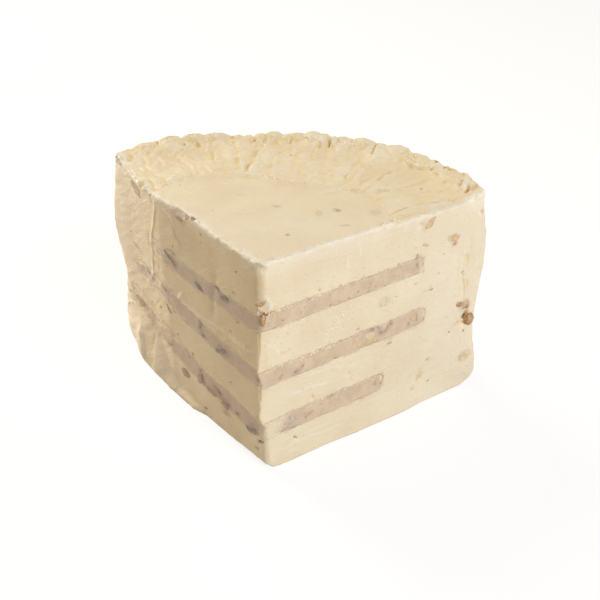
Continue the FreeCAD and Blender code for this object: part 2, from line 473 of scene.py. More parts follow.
# folds, creases and grooves of the top
TOP_STROKES = (
    ("fold", 0.7, 0.8, 3, ((8, 7), (-2, 8.6), (-8, 10), (-15, 10.8), (-22, 10.5), (-28, 8), (-33, 4),
        (-38, -2), (-43, -8))),
    ("groove", 1.5, 0.75, ((-20, 7.4), (-13, 7.2), (-8, 6.4), (-2, 4.8), (5, 3.2), (12, 3))),
    ("fold", 0.6, 0.5, 3, ((21, 5), (17, 3.8), (10, 5), (2, 6.6))),
    ("fold", 0.7, 0.6, 2.5, ((12, -3), (16, -0.8), (19.5, 1.6), (20.5, 6))),
    ("fold", 1, 0.75, 3, ((-25, 41), (-24, 36), (-22.5, 31), (-21, 26), (-19.5, 21), (-17, 15))),
    ("fold", 1.1, 0.8, 4, ((-12.5, 41), (-15, 35), (-15, 30), (-14.5, 25), (-15, 19), (-16, 12.5))),
    ("fold", 0.8, 0.6, 2.5, ((-5, 39), (-7.5, 31), (-7, 24), (-6.5, 17))),
    ("fold", 0.8, 0.5, 2.5, ((6, 44), (6, 38), (5.5, 32), (4, 26), (1, 21))),
    ("fold", 0.5, 0.6, 1.5, ((-37.5, 39), (-36, 34), (-35, 31))),
    ("fold", 0.5, 0.6, 2, ((-33, 34), (-31.5, 28), (-30, 25))),
    ("fold", 0.5, 0.45, 2.5, ((-28, 41), (-29, 36), (-28, 31))),
    ("fold", 0.8, 0.4, 3, ((-52, 24), (-49, 20), (-48, 15))),
    ("fold", 0.6, 0.4, 3, ((-25, 26), (-29, 22), (-34, 21), (-40, 23))),
    ("fold", 0.5, 0.35, 2.5, ((-36, 5.6), (-43, 6), (-51, 6.4))),
    ("fold", 0.5, 0.3, 2.5, ((-40, 3.5), (-46, 4), (-50, 3.6))),
    ("fold", 0.6, 0.4, 3, ((-42, 33), (-45, 28), (-43, 24), (-38, 20))),
    ("fold", 0.5, 0.35, 2, ((-58, 24), (-55, 19), (-54, 14))),
    ("fold", 0.5, 0.3, 2, ((-33, 20), (-30, 16), (-29.5, 11))),
    ("crease", 0.35, 0.8, ((-54, 10.5), (-51, 6.5), (-49, 2.5), (-46, -2), (-43, -6))),
    ("crease", 0.5, 0.45, ((10, 44), (9.5, 38), (9.5, 31))),
    ("crease", 0.6, 0.4, ((20, 30.5), (17, 28), (14.5, 27.5), (11, 29))),
    ("groove", 1.2, 0.4, ((0, 22), (3, 19), (8, 18.5), (12, 21))),
    ("groove", 0.9, 0.45, ((13, 25), (15, 20), (14.5, 13))),
    ("groove", 1, 0.4, ((8, 19), (9, 14), (6, 10))),
    ("fold", 0.6, 0.35, 2.5, ((19, 9), (13, 11), (6, 10.5), (0, 11.5))),
    ("fold", 0.5, 0.3, 2.5, ((19, 11), (15, 12.5), (10, 16))),
    ("crease", 0.55, 1, ((24, 38), (21.8, 33), (20.9, 28), (20.5, 25), (19.5, 20), (20, 16),
        (22, 13.5))),
    ("ridge", 1, 0.8, ((31, 46), (29.2, 40), (28.2, 36), (26.8, 30), (25.5, 25), (24.4, 20),
        (23.5, 15), (22.5, 10))),
    ("crease", 0.7, 0.9, ((28.5, 45), (27.6, 40), (27, 35))),
    ("crease", 0.5, 0.5, ((25, 45), (23.5, 41), (21, 38))),
    ("fold", 0.5, 0.6, 2.5, ((38.5, 28), (35, 22), (33, 17.5), (30.5, 13), (28, 9))),
    ("fold", 0.5, 0.45, 2.5, ((30, 20), (27, 14), (25.5, 9), (25, 5))),
    ("fold", 0.6, 0.6, 2, ((34, 12), (30, 8), (28, 4), (25, 1.5), (21, 1.5))),
    ("fold", 0.5, 0.4, 2.5, ((44, 26), (40, 21), (37, 17), (34, 15))),
    ("fold", 0.5, 0.35, 3, ((48, 14), (42, 12), (38, 9), (35, 5))),
    ("groove", 1.2, 0.35, ((50, 20), (46, 17), (40, 16))),
    ("crease", 0.6, 0.7, ((29, -2), (32, -4), (34.5, -6.5), (36.5, -11), (37.3, -14))),
    ("fold", 0.7, 1, 3.5, ((61, 2), (57, -0.3), (53, -2.6), (48, -5), (44.5, -7.6), (41, -10.4),
        (38, -14))),
    ("crease", 0.3, 0.55, ((38, 31), (40, 29.3), (42.5, 26.5), (46, 24.5), (49, 24), (51, 21),
        (54, 17), (57, 14.5), (60, 11), (62.5, 9))),
    ("fold", 0.5, 0.45, 4, ((39, 31), (43, 26.6), (49, 24), (54, 17.2), (60, 11.2), (63, 8.6))),
    ("fold", 0.4, 0.45, 2, ((61, 17), (61.5, 13), (61, 9))),
    ("fold", 0.4, 0.35, 2, ((56, 22), (56.5, 18), (55, 15))),
    ("groove", 0.8, 0.3, ((19, -3), (18, -9), (18, -14))),
    ("groove", 0.9, 0.22, ((-23, -3), (-12, -7), (-8, -8.5))),
    ("ridge", 0.8, 0.16, ((-28, -4), (-22, -1), (-15, 1))),
    ("ridge", 1.2, 0.16, ((-30, -14), (-18, -20), (-4, -21), (10, -17))),
    ("groove", 1.4, 0.18, ((-12, -28), (0, -31), (10, -27), (18, -20))),
    ("groove", 0.5, 0.22, ((19, -29), (16, -34), (16.5, -37))),
)

# bumps and pits of the top
TOP_DABS = (
    (23.2, 30, 9, 4.2, 85, -0.3), (22.6, 19.5, 8, 3, 80, -0.3), (21.3, 9.3, 3, 2.6, 60, 0.5),
    (20, 5.9, 3.4, 3, 60, 0.8), (21.5, 12.4, 2, 3, 0, 0.5), (24.4, 9, 2, 5, 0, 0.35),
    (-42, 37.2, 6, 2.6, -25, -1.6), (-20.4, 45, 2.4, 3, 0, -1.7), (-29.2, 46, 1.8, 3, 20, -1.4),
    (-62.2, 19.5, 2.2, 5, 10, -1.1), (-48.6, 40, 1.6, 3, 0, -1.1), (-46.2, 35, 2.6, 1.6, -30, -1),
    (-45, 42, 3, 2, -20, -1), (-16, 45, 1.4, 3, 0, -1.3), (-11.5, 44, 3, 3, 0, -0.9),
    (-5.6, 45.5, 1.2, 4, 0, -1.1), (6.2, 42, 1.2, 3, 10, -1), (9.8, 44, 1.3, 5, 5, -1.3),
    (42.1, 27.2, 3, 1.2, -35, -0.8), (45.8, 25, 2, 1, -20, -0.6), (38.4, 32.6, 1.4, 3, 20, -0.6),
    (43.3, 33, 1.2, 3.4, 10, -0.5), (13, 45, 1.6, 2.4, 0, -1.1), (11.5, 41.3, 2, 1.6, 0, -0.8),
    (62.3, 8.4, 1.8, 3.4, -15, -2), (-51, 0.5, 2.2, 4, 35, -0.9), (-35.5, 16.5, 1.6, 3, 15, -0.5),
    (-33.9, 13.5, 1.2, 2.5, 20, -0.6), (40.5, 30.5, 3.5, 2.5, 0, 0.7), (44.5, 30, 3, 3, 0, 0.6),
    (-53, -1, 3, 3, 0, 0.9), (-50.5, 3.6, 3, 2.4, 40, 0.7), (32.5, -1, 6, 8, 20, -0.35),
    (46, 4, 16, 8, 35, -0.3), (-46, 12, 14, 8, 0, -0.4), (-33, 26, 7, 9, 0, -0.45),
    (-52, 29, 6, 6, 0, 0.4), (-40, 27, 7, 6, 30, 0.35), (-20, 34, 4, 12, 5, 0.5),
    (-10.5, 30, 5, 14, 0, 0.5), (-3, 22, 6, 8, 0, -0.35), (15, 36, 8, 8, 0, 0.45),
    (34, 30, 7, 8, 20, 0.5), (50, 27, 6, 6, 0, 0.4), (13.5, 33, 5, 3, 20, -0.3),
)

# lumps squeezed up along the rim: x, y, half width along the rim, half width across, rise
RIM_LUMPS = (
    (-63.5, 22, 4.5, 4.5, 0.2), (-59, 29, 7, 4.5, 0.5), (-51, 37.6, 7, 5, 0.8),
    (-43.5, 42.2, 6, 4.2, 1.1), (-35.5, 45.2, 6.5, 4.4, 1.2), (-28, 46.6, 3.8, 3.4, 0.7),
    (-23, 48, 3.8, 3, 0.4), (-18.4, 48.8, 3, 3.6, 1.1), (-13.2, 49.4, 3.8, 4, 1.7),
    (-7.6, 48, 3.4, 3.8, 0.7), (-3.4, 49.4, 4.6, 4.6, 1.3), (2.6, 49.4, 3.9, 5, 1.6),
    (7.4, 47.2, 2.6, 6, 1), (11.2, 46.4, 2.2, 3.6, 0.6), (16, 47.2, 4.4, 3.6, 0.7),
    (23, 45.2, 6.6, 5.2, 1), (30.4, 42.6, 3.8, 4.6, 0.4), (36.6, 40, 6.8, 5.6, 0.7),
    (45, 35.2, 6.2, 5, 0.5), (52, 29.2, 5, 4.6, 0.4), (58, 22.6, 5.6, 4.8, 0.6),
    (63, 16.4, 4.4, 4.4, 0.3),
)

# how much the rim is turned up: angle round the axis, rise in mm
RIM_RISE = (
    (30, 2.8), (34, 4), (38, 3.8), (43, 3), (52, 2.6), (60, 2.6), (70, 3), (77, 2.6), (84, 2.2),
    (92, 2.1), (98, 1.6), (108, 1.5), (115, 2.5), (122, 2.8), (130, 2.6), (137, 1.2),
)

# how far the foot of the left face spreads: distance from the point, spread, height it reaches
FOOT = (
    (38, 0, 2.2), (44, 2.4, 2.6), (56, 2.6, 4), (64, 3.2, 9), (72, 4.4, 18), (80, 5, 26),
    (90, 4.8, 32), (100, 2.6, 34), (108, 0.8, 30), (116, 0.6, 30),
)

# how far the front edge is dragged over to the left: height, overhang
BURR = (
    (0, 0), (19, 0.1), (21, 1.2), (24, 2.4), (28, 2), (33, 1.3), (37, 1), (41, 2.2), (45, 2),
    (49, 1), (55, 0.4), (60, 0), (82, 0),
)

# lines and worn edges of the right cut
RIGHT_STROKES = (
    ("ridge", 0.35, 0.16, ((7.6, 28.8), (15, 28.8), (22, 28), (29.5, 27.2))),
    ("ridge", 0.35, 0.16, ((13, 34.1), (20, 33.5), (28, 32), (34, 30.7))),
    ("ridge", 0.3, 0.14, ((32.8, 29.9), (38, 30.9), (44.6, 30.6))),
    ("ridge", 0.3, 0.14, ((2, 51), (5, 49.5), (7, 45))),
    ("ridge", 0.3, 0.1, ((54, 33.5), (58, 33.8), (62, 34.8))),
    ("ridge", 0.35, 0.13, ((52, 57.6), (56, 58), (60, 57.2), (63, 55.8))),
    ("ridge", 0.3, 0.13, ((31.2, 76), (31.6, 72), (31, 68))),
    ("ridge", 0.3, 0.11, ((35.6, 79), (36, 75), (35.6, 71))),
    ("ridge", 0.4, 0.12, ((5, 6.5), (14, 7.5), (24, 6.4), (34, 7))),
    ("ridge", 0.3, 0.1, ((12, 9), (22, 9.4), (30, 8.2))),
    ("ridge", 0.35, 0.1, ((40, 11), (48, 11.8), (56, 11))),
    ("crease", 0.4, 0.6, ((83, 58.5), (83.4, 56), (83.9, 53.4))),
    ("crease", 0.4, 0.6, ((84, 49), (84.6, 46), (85, 43.4))),
    ("crease", 0.3, 0.3, ((90.5, 53), (90.7, 49))),
    ("crease", 0.3, 0.35, ((79.8, 58), (79.4, 55))),
    ("fold", 0.5, 0.35, 3, ((83.5, 60), (82.8, 52), (84, 44), (84.8, 38))),
    ("groove", 1, 0.25, ((59, 74), (60.5, 77), (61.5, 79))),
    ("ridge", 0.5, 0.25, ((0.8, 70), (2.4, 68), (3, 65), (4.4, 63.5))),
    ("fold", 0.4, 0.2, 1.5, ((0, 62.6), (8, 62.7), (16, 62.9), (26, 63.2), (36, 63.4))),
    ("fold", 0.4, 0.2, 1.5, ((1, 41.4), (8, 41.7), (16, 41.9), (26, 42.1), (34, 42.6))),
)

RIGHT_DABS = (
    (0.9, 66, 4.4, 2.2, -4, -1.5), (0.4, 62.6, 4, 1.8, -6, -1.5), (2.4, 79.4, 2.4, 1.4, 20, 0.5),
    (1.2, 78.8, 2.4, 2.4, 0, -0.7), (3.6, 64.8, 3.4, 2.6, -30, 0.6), (2, 60.4, 3.4, 2.4, 0, 0.5),
    (7.6, 46, 2.2, 0.7, -5, -0.7), (10, 46.4, 1.2, 0.7, 20, -0.5), (18.7, 23.7, 1.1, 2.2, 10, -0.8),
    (33.8, 27.3, 1, 1.4, 0, -0.7), (34.7, 24.5, 0.9, 2.4, 10, -0.5), (35.3, 26, 0.8, 0.8, 0, -0.5),
    (11.6, 9.7, 2.2, 0.9, -40, -0.7), (11.5, 6, 1.2, 0.7, -20, -0.5),
    (86, 32.4, 2.6, 3.4, -20, -3.2), (85.2, 29.2, 2, 3, 30, -1.6), (88.1, 71, 1.8, 2, 30, -1),
    (84.2, 79.2, 3, 1.6, 30, -1.2), (81.4, 38.8, 1.8, 2.4, 0, -0.8),
    (16.2, 62.5, 1.2, 0.8, 0, -0.5), (21, 64.6, 1.2, 1.6, 0, -0.6), (25, 65.3, 1, 0.8, 0, -0.5),
    (12.6, 62.4, 1.6, 0.8, 0, -0.5), (61, 76.6, 2, 2.6, 20, -0.45), (59.6, 69, 1.6, 1.2, 0, 0.5),
    (74, 67.4, 2, 3, 0, -0.4), (38, 30.6, 1.2, 0.5, 0, -0.4), (86.2, 61, 3, 10, 0, 0.5),
    (88, 8, 12, 10, 0, 0.5), (79, 46, 8, 14, 0, 0.2), (48, 80.3, 3, 1.4, 0, -0.5),
    (15.6, 80.6, 2, 1.4, -40, -0.6), (66.8, 80.4, 1.4, 1, 0, -0.6), (64, 80.6, 2.4, 1, 0, 0.3),
    (37, 44.6, 1.6, 0.7, 0, -0.4),
)

# strands, folds and knife lines of the left cut
LEFT_STROKES = (
    ("ridge", 0.9, 0.36, ((62, 79.5), (63, 74), (66, 68), (69.2, 62), (71, 55), (72.3, 48.6),
        (74.3, 43.4), (76.4, 39.6), (80, 37), (84, 36))),
    ("ridge", 0.42, 0.24, ((0.5, 49.6), (3, 47.2), (8, 46.4), (16, 46), (26, 45.2), (34, 44.9),
        (40, 44.7), (47, 43.6), (52, 42.6))),
    ("ridge", 0.4, 0.24, ((50, 44.6), (54, 45.8), (58, 48), (62, 50.4), (66, 51.6), (69, 51))),
    ("ridge", 0.35, 0.15, ((29, 44.4), (40, 44), (50, 43.2), (54, 41))),
    ("ridge", 0.5, 0.35, ((47.2, 48.8), (50, 46), (53, 43))),
    ("ridge", 0.35, 0.17, ((57, 46), (63, 45), (70, 42.4))),
    ("ridge", 0.4, 0.24, ((66, 41), (71, 39.2), (76, 37.6), (82, 35.4))),
    ("ridge", 0.35, 0.21, ((92, 35.6), (98, 32.6), (104, 29.8), (110, 27.4))),
    ("ridge", 0.35, 0.17, ((66, 31), (70, 28), (73, 25.4))),
    ("ridge", 0.4, 0.17, ((50, 73), (52, 76), (58, 77))),
    ("ridge", 0.35, 0.14, ((80, 57), (86, 53), (94, 50))),
    ("ridge", 0.35, 0.14, ((86, 71), (90, 70), (93, 73))),
    ("ridge", 0.3, 0.11, ((2.6, 36), (4, 34.8), (5.6, 33.8))),
    ("groove", 1.6, 0.3, ((25, 68), (26.4, 60), (28, 54), (28.6, 46))),
    ("fold", 0.8, 0.25, 5, ((52, 73), (50, 69), (45, 66))),
    ("fold", 0.7, 0.25, 4, ((58, 24), (66, 25), (78, 24), (92, 23), (106, 22))),
    ("fold", 0.9, 0.5, 6, ((70, -1), (73, 5), (75, 10), (75, 17))),
    ("groove", 4.6, 1, ((74, -2), (77, 5), (80, 11), (83, 17))),
    ("ridge", 1.4, 1.1, ((80, -2), (83.5, 5), (87, 10), (90, 14.5))),
    ("ridge", 0.6, 0.6, ((98, 19), (102, 16.4), (106, 14), (111, 12))),
    ("ridge", 0.35, 0.1, ((8, 28), (18, 27), (30, 24))),
    ("ridge", 0.35, 0.1, ((45, 10), (58, 8), (70, 9))),
    ("ridge", 0.5, 0.24, ((9.5, 48.5), (8.9, 46.6), (8.2, 45))),
    ("crease", 0.5, 0.4, ((59, 34.4), (61, 35.5), (63, 36.4))),
)

# painted highlights on the edges of strands and folds on the left cut: ridges, without their kind
LEFT_GLINTS = (
    (0.95, 1.2, ((62.6, 79.5), (63.8, 74), (66.8, 68), (70, 62), (71.8, 55), (73.1, 48.6),
        (75.2, 43.4), (77.6, 39.8), (81, 37.2), (85, 35))),
    (0.5, 0.9, ((94, 36.4), (99, 34), (104, 30.6), (108, 28))),
    (0.7, 1.2, ((99, 17.4), (102, 15.4), (105, 13.4), (110, 11))),
    (0.7, 0.9, ((81, 0), (84.4, 5), (88, 10), (91, 14))),
    (0.4, 0.8, ((3, 46.8), (12, 46), (26, 45.1), (38, 44.5), (47, 43.6), (54, 42.2))),
    (0.6, 0.9, ((46.6, 48.6), (49.6, 46), (53, 42.8))),
    (0.5, 0.7, ((66, 51.6), (62, 50.4), (58, 48), (54, 45.8))),
    (0.4, 0.7, ((50, 73), (52, 76), (58, 77))),
    (0.35, 0.6, ((55, 20.4), (57.6, 18.6), (61, 16.8))),
    (0.35, 0.6, ((67, 28.6), (70, 27), (73, 24.6))),
    (0.35, 0.7, ((2.6, 36.6), (4, 35), (5.4, 33.8))),
    (1.6, 0.5, ((84, 70.4), (88, 71.2), (92, 73))),
    (1.6, 0.35, ((100, 60), (104, 63), (108, 66))),
)

# painted warm shade on the left cut, in its recesses and beside its strands, standing for light that
# glows through the cheese there: grooves, without their kind
LEFT_PAINTED_SHADE = (
    (1.6, 0.3, ((60.2, 78), (61.4, 73), (64, 67), (67.6, 61), (69.4, 54), (70.9, 48))),
    (1.2, 0.5, ((60, 54), (66, 53), (69, 55))),
    (1, 0.6, ((65, 50.6), (67, 50.4), (69, 50.8))),
    (4.4, 0.7, ((76, 0), (79, 6), (82, 12), (84, 15))),
    (2.6, 0.5, ((92, 0), (97, 6), (102, 12), (107, 16))),
    (0.7, 0.8, ((61, 79), (62.2, 74), (65, 68), (68.4, 62), (70.2, 55), (71.6, 48.6))),
    (1.6, 0.4, ((1.4, 21), (1.6, 30), (1.2, 38), (1.8, 45), (1, 54))),
    (3, 0.3, ((80, 57), (86, 54), (92, 53))),
    (1.4, 0.5, ((0.5, 70), (0.4, 75), (1, 79))),
    (1, 0.5, ((4, 79.6), (14, 79.4), (26, 79.2))),
)

# the same for the right cut
RIGHT_PAINTED_SHADE = (
    (0.8, 1.2, ((83, 59.5), (83.4, 56), (83.9, 52.4))),
    (0.8, 1.2, ((84, 49.6), (84.6, 46), (85, 42.4))),
    (0.6, 0.6, ((79.8, 58.6), (79.4, 55), (80.4, 52))),
    (0.5, 0.6, ((89.8, 55), (90.2, 51), (90, 47))),
    (0.7, 0.5, ((86.4, 64), (87, 60), (86.6, 55), (87.4, 50))),
    (0.5, 0.9, ((6.4, 45.8), (8.4, 46), (10.8, 46.6))),
    (0.6, 0.5, ((1, 50.6), (2, 46), (1.2, 40))),
    (0.6, 0.5, ((3, 66.8), (4.2, 64.6), (5.6, 63.4), (8, 62.9))),
    (0.5, 0.35, ((8, 41.5), (20, 41.9), (30, 42.5))),
)

LEFT_DABS = (
    (3.6, 11, 2.6, 1.1, -35, -0.7), (5.4, 6.4, 3, 1.4, 0, -0.6), (38.2, 3, 2.4, 1, -10, -0.6),
    (65.6, 50.4, 3, 1.4, 20, -0.6), (45, 79.6, 8, 2.4, 0, -0.8), (85, 74.4, 13, 5, 0, -0.25),
    (75, 6, 20, 10, 0, 0.3), (30, 70, 26, 14, 0, -0.5), (1.6, 78.9, 3, 2.4, 0, -0.6),
    (52, 11.4, 6.5, 6, 0, 0.3), (40.5, 16, 5, 5, 0, 0.25), (12, 46, 10, 3, 0, 0.25),
    (30, 12, 20, 10, 0, 0.2),
)


# ---------------- the sculpted wedge

# how deep under the top of the block the middle of each lump lies, and its half height when
# it doesn't rise, in mm
LUMP_SINK, LUMP_HALF_HEIGHT = 2.15, 2.2
# how much wider the balls are than the lumps that show, along the rim and across it
LUMP_ALONG, LUMP_ACROSS = 1.15, 1.1


def lumpy_rim(plan, block):
    """Fuse the lumps along the rim with the block."""
    pieces = [block]
    for x, y, along, across, rise in RIM_LUMPS:
        turn = math.atan2(y - plan.axis[1], x - plan.axis[0]) + math.pi / 2
        depth = rise + LUMP_HALF_HEIGHT
        start_fresh()
        bpy.ops.mesh.primitive_ico_sphere_add(
            subdivisions=4, radius=MM, location=(x * MM, y * MM, (plan.height - LUMP_SINK) * MM),
            rotation=(0, 0, turn), scale=(along * LUMP_ALONG, across * LUMP_ACROSS, depth))
        lump = bpy.context.object
        place_in_mesh(lump)
        pieces.append(lump)
    join(pieces)


# how far the round rim stands out: height, distance, then how much more at its right end
# and at its left end
RIM_PROFILE = (
    (0, 2), (2, 2.6), (5, 2.2), (10, 1), (20, -1), (28, -2.6), (38, -1.6), (50, -0.8), (60, -0.7),
    (70, -1), (76, -1.8), (81, -1.6),
)
RIGHT_END = (
    (0, -1.6), (5, -1.9), (10, -0.5), (20, 0.1), (28, 0.9), (38, 0.9), (50, 0.9), (60, 0.2),
    (70, -0.8), (77, -2.6), (81, -3.2),
)
LEFT_END = (
    (0, 0), (14, -0.6), (28, 0.4), (38, 1.8), (48, 4), (58, 4.7), (66, 4), (74, 2.2), (81, -2.4),
)

# how round the worn front edge is: height, radius
FRONT_EDGE = (
    (0, 2.6), (18, 1.6), (21, 0.5), (53, 0.5), (58, 1.4), (64, 2.2), (70, 2.6), (82, 2.6),
)


class Surface:
    """The wedge's faces: how far points are from each, and where they are on it."""

    def __init__(self, plan, points):
        self.plan = plan
        self.points = points
        flat = points[:, :2]
        self.z = points[:, 2]
        from_point, from_bend, from_axis = flat - plan.point, flat - plan.bend, flat - plan.axis
        self.radius = np.hypot(from_axis[:, 0], from_axis[:, 1])
        self.turn = np.degrees(np.arctan2(from_axis[:, 1], from_axis[:, 0]))
        self.gap_right = -(from_point @ plan.right_normal)
        gap_near = -(from_point @ plan.left_normal)
        gap_far = -(from_bend @ plan.far_normal)
        self.gap_left = np.minimum(gap_near, gap_far)
        self.gap_rim = plan.radius - self.radius
        self.right_uv = np.column_stack([from_point @ plan.right_way, self.z])
        near = from_point @ plan.left_way
        far = plan.bend_distance + from_bend @ plan.far_way
        past = from_bend @ (plan.left_way + plan.far_way) > 0
        self.left_uv = np.column_stack([np.where(past, far, near), self.z])
        bent = ramp(self.left_uv[:, 0], plan.bend_distance - 3, plan.bend_distance + 3)[:, None]
        self.left_normal = plan.left_normal * (1 - bent) + plan.far_normal * bent
        self.rim_normal = from_axis / np.maximum(self.radius, 1e-6)[:, None]

    def ways_out(self):
        """The way out of the top, the right cut, the left cut and the rim at each point."""
        count = len(self.points), 1
        return (np.tile((0.0, 0.0, 1.0), count), np.tile((*self.plan.right_normal, 0.0), count),
                in_space(self.left_normal), in_space(self.rim_normal))


def ring_relief(surface):
    """How much each point belongs to the sunken ring, its soft radial folds, and the rim's pits."""
    uv = surface.points[:, :2]
    radius = surface.radius
    flat = in_space(uv)
    wobble = 0.7 * wander(flat, 5.0, (3, 43), 3)
    inner = np.zeros(len(uv))
    near, away, _, _ = near_curve(uv + wobble, PLATEAU_LIP, 150.0)
    inner[near] = (0.5 + 0.5 * np.tanh(away / 0.6)) * np.exp(-np.maximum(away, 0) / 200)
    ring = ramp(radius, 45, 52) * (1 - ramp(inner, 0.1, 0.6))
    arc = np.radians(surface.turn) * 75
    radial = in_space(arc, radius)
    bend = in_space(3.4 * wander(flat, 9.0, (61, 67), 3))
    folds = billow(radial + bend, (8.0, 19.0, 9.0), 11, 3)
    pits = ramp(noise(radial + 0.3 * bend, (1.5, 3.6, 1.0), 19), 0.30, 0.62)
    pits *= ramp(radius, 71, 82) * ramp(rough(flat, 8.0, 21, 2), -0.35, 0.25)
    return inner, ring, folds, pits


# how far the middle of the top stands above the ring round it
PLATEAU_RISE = 1.6


def top_height(surface):
    """Height of the plateau's edge, the ring's folds, the torn edges and the dabs on top."""
    points = surface.points
    uv = points[:, :2]
    radius = surface.radius
    flat = in_space(uv)
    wobble = 0.7 * wander(flat, 5.0, (3, 43), 3)
    inner, ring, folds, pits = ring_relief(surface)
    height = PLATEAU_RISE * inner - PLATEAU_RISE
    height += draw_strokes(uv, TOP_STROKES, 3)
    height += draw_dabs(uv + 0.5 * wobble, TOP_DABS)
    height += 0.30 * rough(flat, 24.0, 5, 2)
    height += ring * (0.44 * folds + 0.22 * billow(flat, 3.2, 17, 2)) - 0.75 * pits
    height += (1 - ring) * (0.12 * rough(flat, 8.0, 23, 2) + 0.05 * rough(flat, 2.4, 29, 2))
    edge = ramp(radius, 77, 85) * ramp(rough(flat, 9.0, 31, 2), -0.5, 0.4)
    height += edge * 0.26 * billow(points, 2.6, 37, 2)
    torn = ramp(2.6 - surface.gap_left, 0, 2.2) * ramp(rough(flat, 6.0, 33, 2), -0.5, 0.3)
    height += torn * (0.25 + 0.55 * billow(points, (2.0, 2.0, 9.0), 39, 2))
    lip = ramp(1.8 - surface.gap_right, 0, 1.4) * ramp(rough(flat, 9.0, 34, 2), -0.5, 0.3)
    height += lip * (0.2 + 0.35 * billow(points, (2.4, 2.4, 9.0), 41, 2))
    return height


def right_height(surface):
    """Height of the right cut: knife lines low down, worn patches and a rough far end."""
    uv = surface.right_uv
    flat = in_space(uv)
    height = draw_strokes(uv, RIGHT_STROKES, 5) + draw_dabs(uv, RIGHT_DABS)
    height += 0.7 * ramp(14 - uv[:, 1], 0, 12) * ramp(uv[:, 0], 24, 46) * ramp(80 - uv[:, 0], 0, 20)
    height += 0.28 * rough(flat, 26.0, 41, 2) + 0.05 * rough(flat, 5.0, 43, 3)
    slant = in_space(uv[:, 0], uv[:, 1] + 0.02 * uv[:, 0])
    low = 1 - ramp(uv[:, 1], 8, 34)
    height += (0.02 + 0.05 * low) * rough(slant, (30.0, 0.9, 1.0), 47, 2)
    high = ramp(uv[:, 1], 55, 75)
    height += 0.04 * high * rough(flat, (1.0, 22.0, 1.0), 53, 2)
    worn = ramp(rough(flat, 10.0, 59, 2), 0.15, 0.6) * ramp(uv[:, 1], 20, 40)
    height += 0.12 * worn * billow(flat, 1.4, 61, 2)
    far = ramp(uv[:, 0], 74, 84)
    height += 0.14 * far * billow(flat, (2.2, 5.0, 1.0), 67, 2)
    return height


def left_height(surface):
    """Height of the left cut: the front edge dragged over it, strands and smears."""
    uv = surface.left_uv
    height = draw_strokes(uv, LEFT_STROKES, 7) + draw_dabs(uv, LEFT_DABS)
    flat = in_space(uv)
    height += 0.35 * rough(flat, 26.0, 71, 2) + 0.05 * rough(flat, 5.0, 73, 3)
    over = follow(BURR, uv[:, 1]) * (1 + 0.3 * rough(flat, 3.0, 75, 2))
    height += over * np.exp(-(uv[:, 0] / 1.4)**2)
    smeared = ramp(uv[:, 0], 44, 70)
    along = uv[:, 0] * 0.86 - uv[:, 1] * 0.5
    across = uv[:, 0] * 0.5 + uv[:, 1] * 0.86
    drag = in_space(along, across)
    drag[:, 1] += 1.6 * rough(flat, 14.0, 79, 2)
    height += smeared * 0.17 * rough(drag, (22.0, 3.2, 1.0), 83, 3)
    height += (1 - smeared) * 0.05 * rough(drag, (16.0, 1.6, 1.0), 89, 2)
    return height


def rim_height(surface):
    """Height of the round rim: its profile, which differs at each end, and soft lumps."""
    points = surface.points
    z = surface.z
    profile = follow(RIM_PROFILE, z)
    profile += follow(LEFT_END, z) * ramp(surface.turn, 112, 132)
    profile += follow(RIGHT_END, z) * ramp(62 - surface.turn, 0, 26)
    arc = np.radians(surface.turn) * surface.plan.radius
    wall = in_space(arc, z)
    height = profile + 0.8 * rough(wall, 30.0, 97, 2)
    height += 0.35 * billow(wall, (9.0, 16.0, 9.0), 101, 3) + 0.10 * rough(points, 2.4, 103, 2)
    return height


def warp(plan, points):
    """The slow changes of shape: the rim turned up, the foot of the left face spread out."""
    surface = Surface(plan, points)
    rise = follow(RIM_RISE, surface.turn)
    moved = points.copy()
    moved[:, 2] += rise * ramp(surface.radius, 72, 87) * ramp(surface.z, 40, 76)
    u = surface.left_uv[:, 0]
    where, spread, top = np.array(FOOT, float).T
    reach = np.interp(u, where, top)
    out = np.interp(u, where, spread) * ramp(reach - surface.z, 0, reach)
    out += 1.1 * ramp(u, 90, 108) * ramp(80 - surface.z, 0, 30)
    thin = 3.0 + 0.45 * reach
    out *= ramp(thin - surface.gap_left, 0, thin)
    moved[:, :2] += surface.left_normal * out[:, None]
    return moved


def round_off(points, first, second, radius):
    """Round the edge between two faces, each given as the gap to it and its way out."""
    (gap_a, way_a), (gap_b, way_b) = first, second
    inner_a, inner_b = np.maximum(radius - gap_a, 0), np.maximum(radius - gap_b, 0)
    far = np.hypot(inner_a, inner_b)
    share = np.where(far > radius, 1 - radius / np.maximum(far, 1e-6), 0)
    share *= (inner_a > 0) & (inner_b > 0)
    return points - (way_a * inner_a[:, None] + way_b * inner_b[:, None]) * share[:, None]


# how round the edges are worn, in mm: the top's over the right cut and over the left cut, and
# the rim's ends at the left cut and at the right cut
TOP_RIGHT_WEAR, TOP_LEFT_WEAR = 0.9, 1.3
RIM_LEFT_WEAR, RIM_RIGHT_WEAR = 0.5, 2.4
# how much more the ends of the rim are worn higher up
RIM_LEFT_MORE, RIM_RIGHT_MORE = 4.0, 2.0


def wear_edges(plan, points):
    """Soften the front edge, the edges of the top and the ends of the rim."""
    surface = Surface(plan, points)
    gaps = plan.height - surface.z, surface.gap_right, surface.gap_left, surface.gap_rim
    top, right, left, rim = zip(gaps, surface.ways_out())
    points = round_off(points, right, left, follow(FRONT_EDGE, surface.z))
    vary = rough(points, 7.0, 181, 2)
    points = round_off(points, top, right, TOP_RIGHT_WEAR + 0.5 * vary)
    points = round_off(points, top, left, TOP_LEFT_WEAR + 0.8 * vary)
    more = RIM_LEFT_MORE * ramp(surface.z, 40, 76)
    points = round_off(points, rim, left, more + RIM_LEFT_WEAR)
    more = RIM_RIGHT_MORE * ramp(surface.z, 60, 80)
    return round_off(points, rim, right, RIM_RIGHT_WEAR + 0.6 * vary + more)


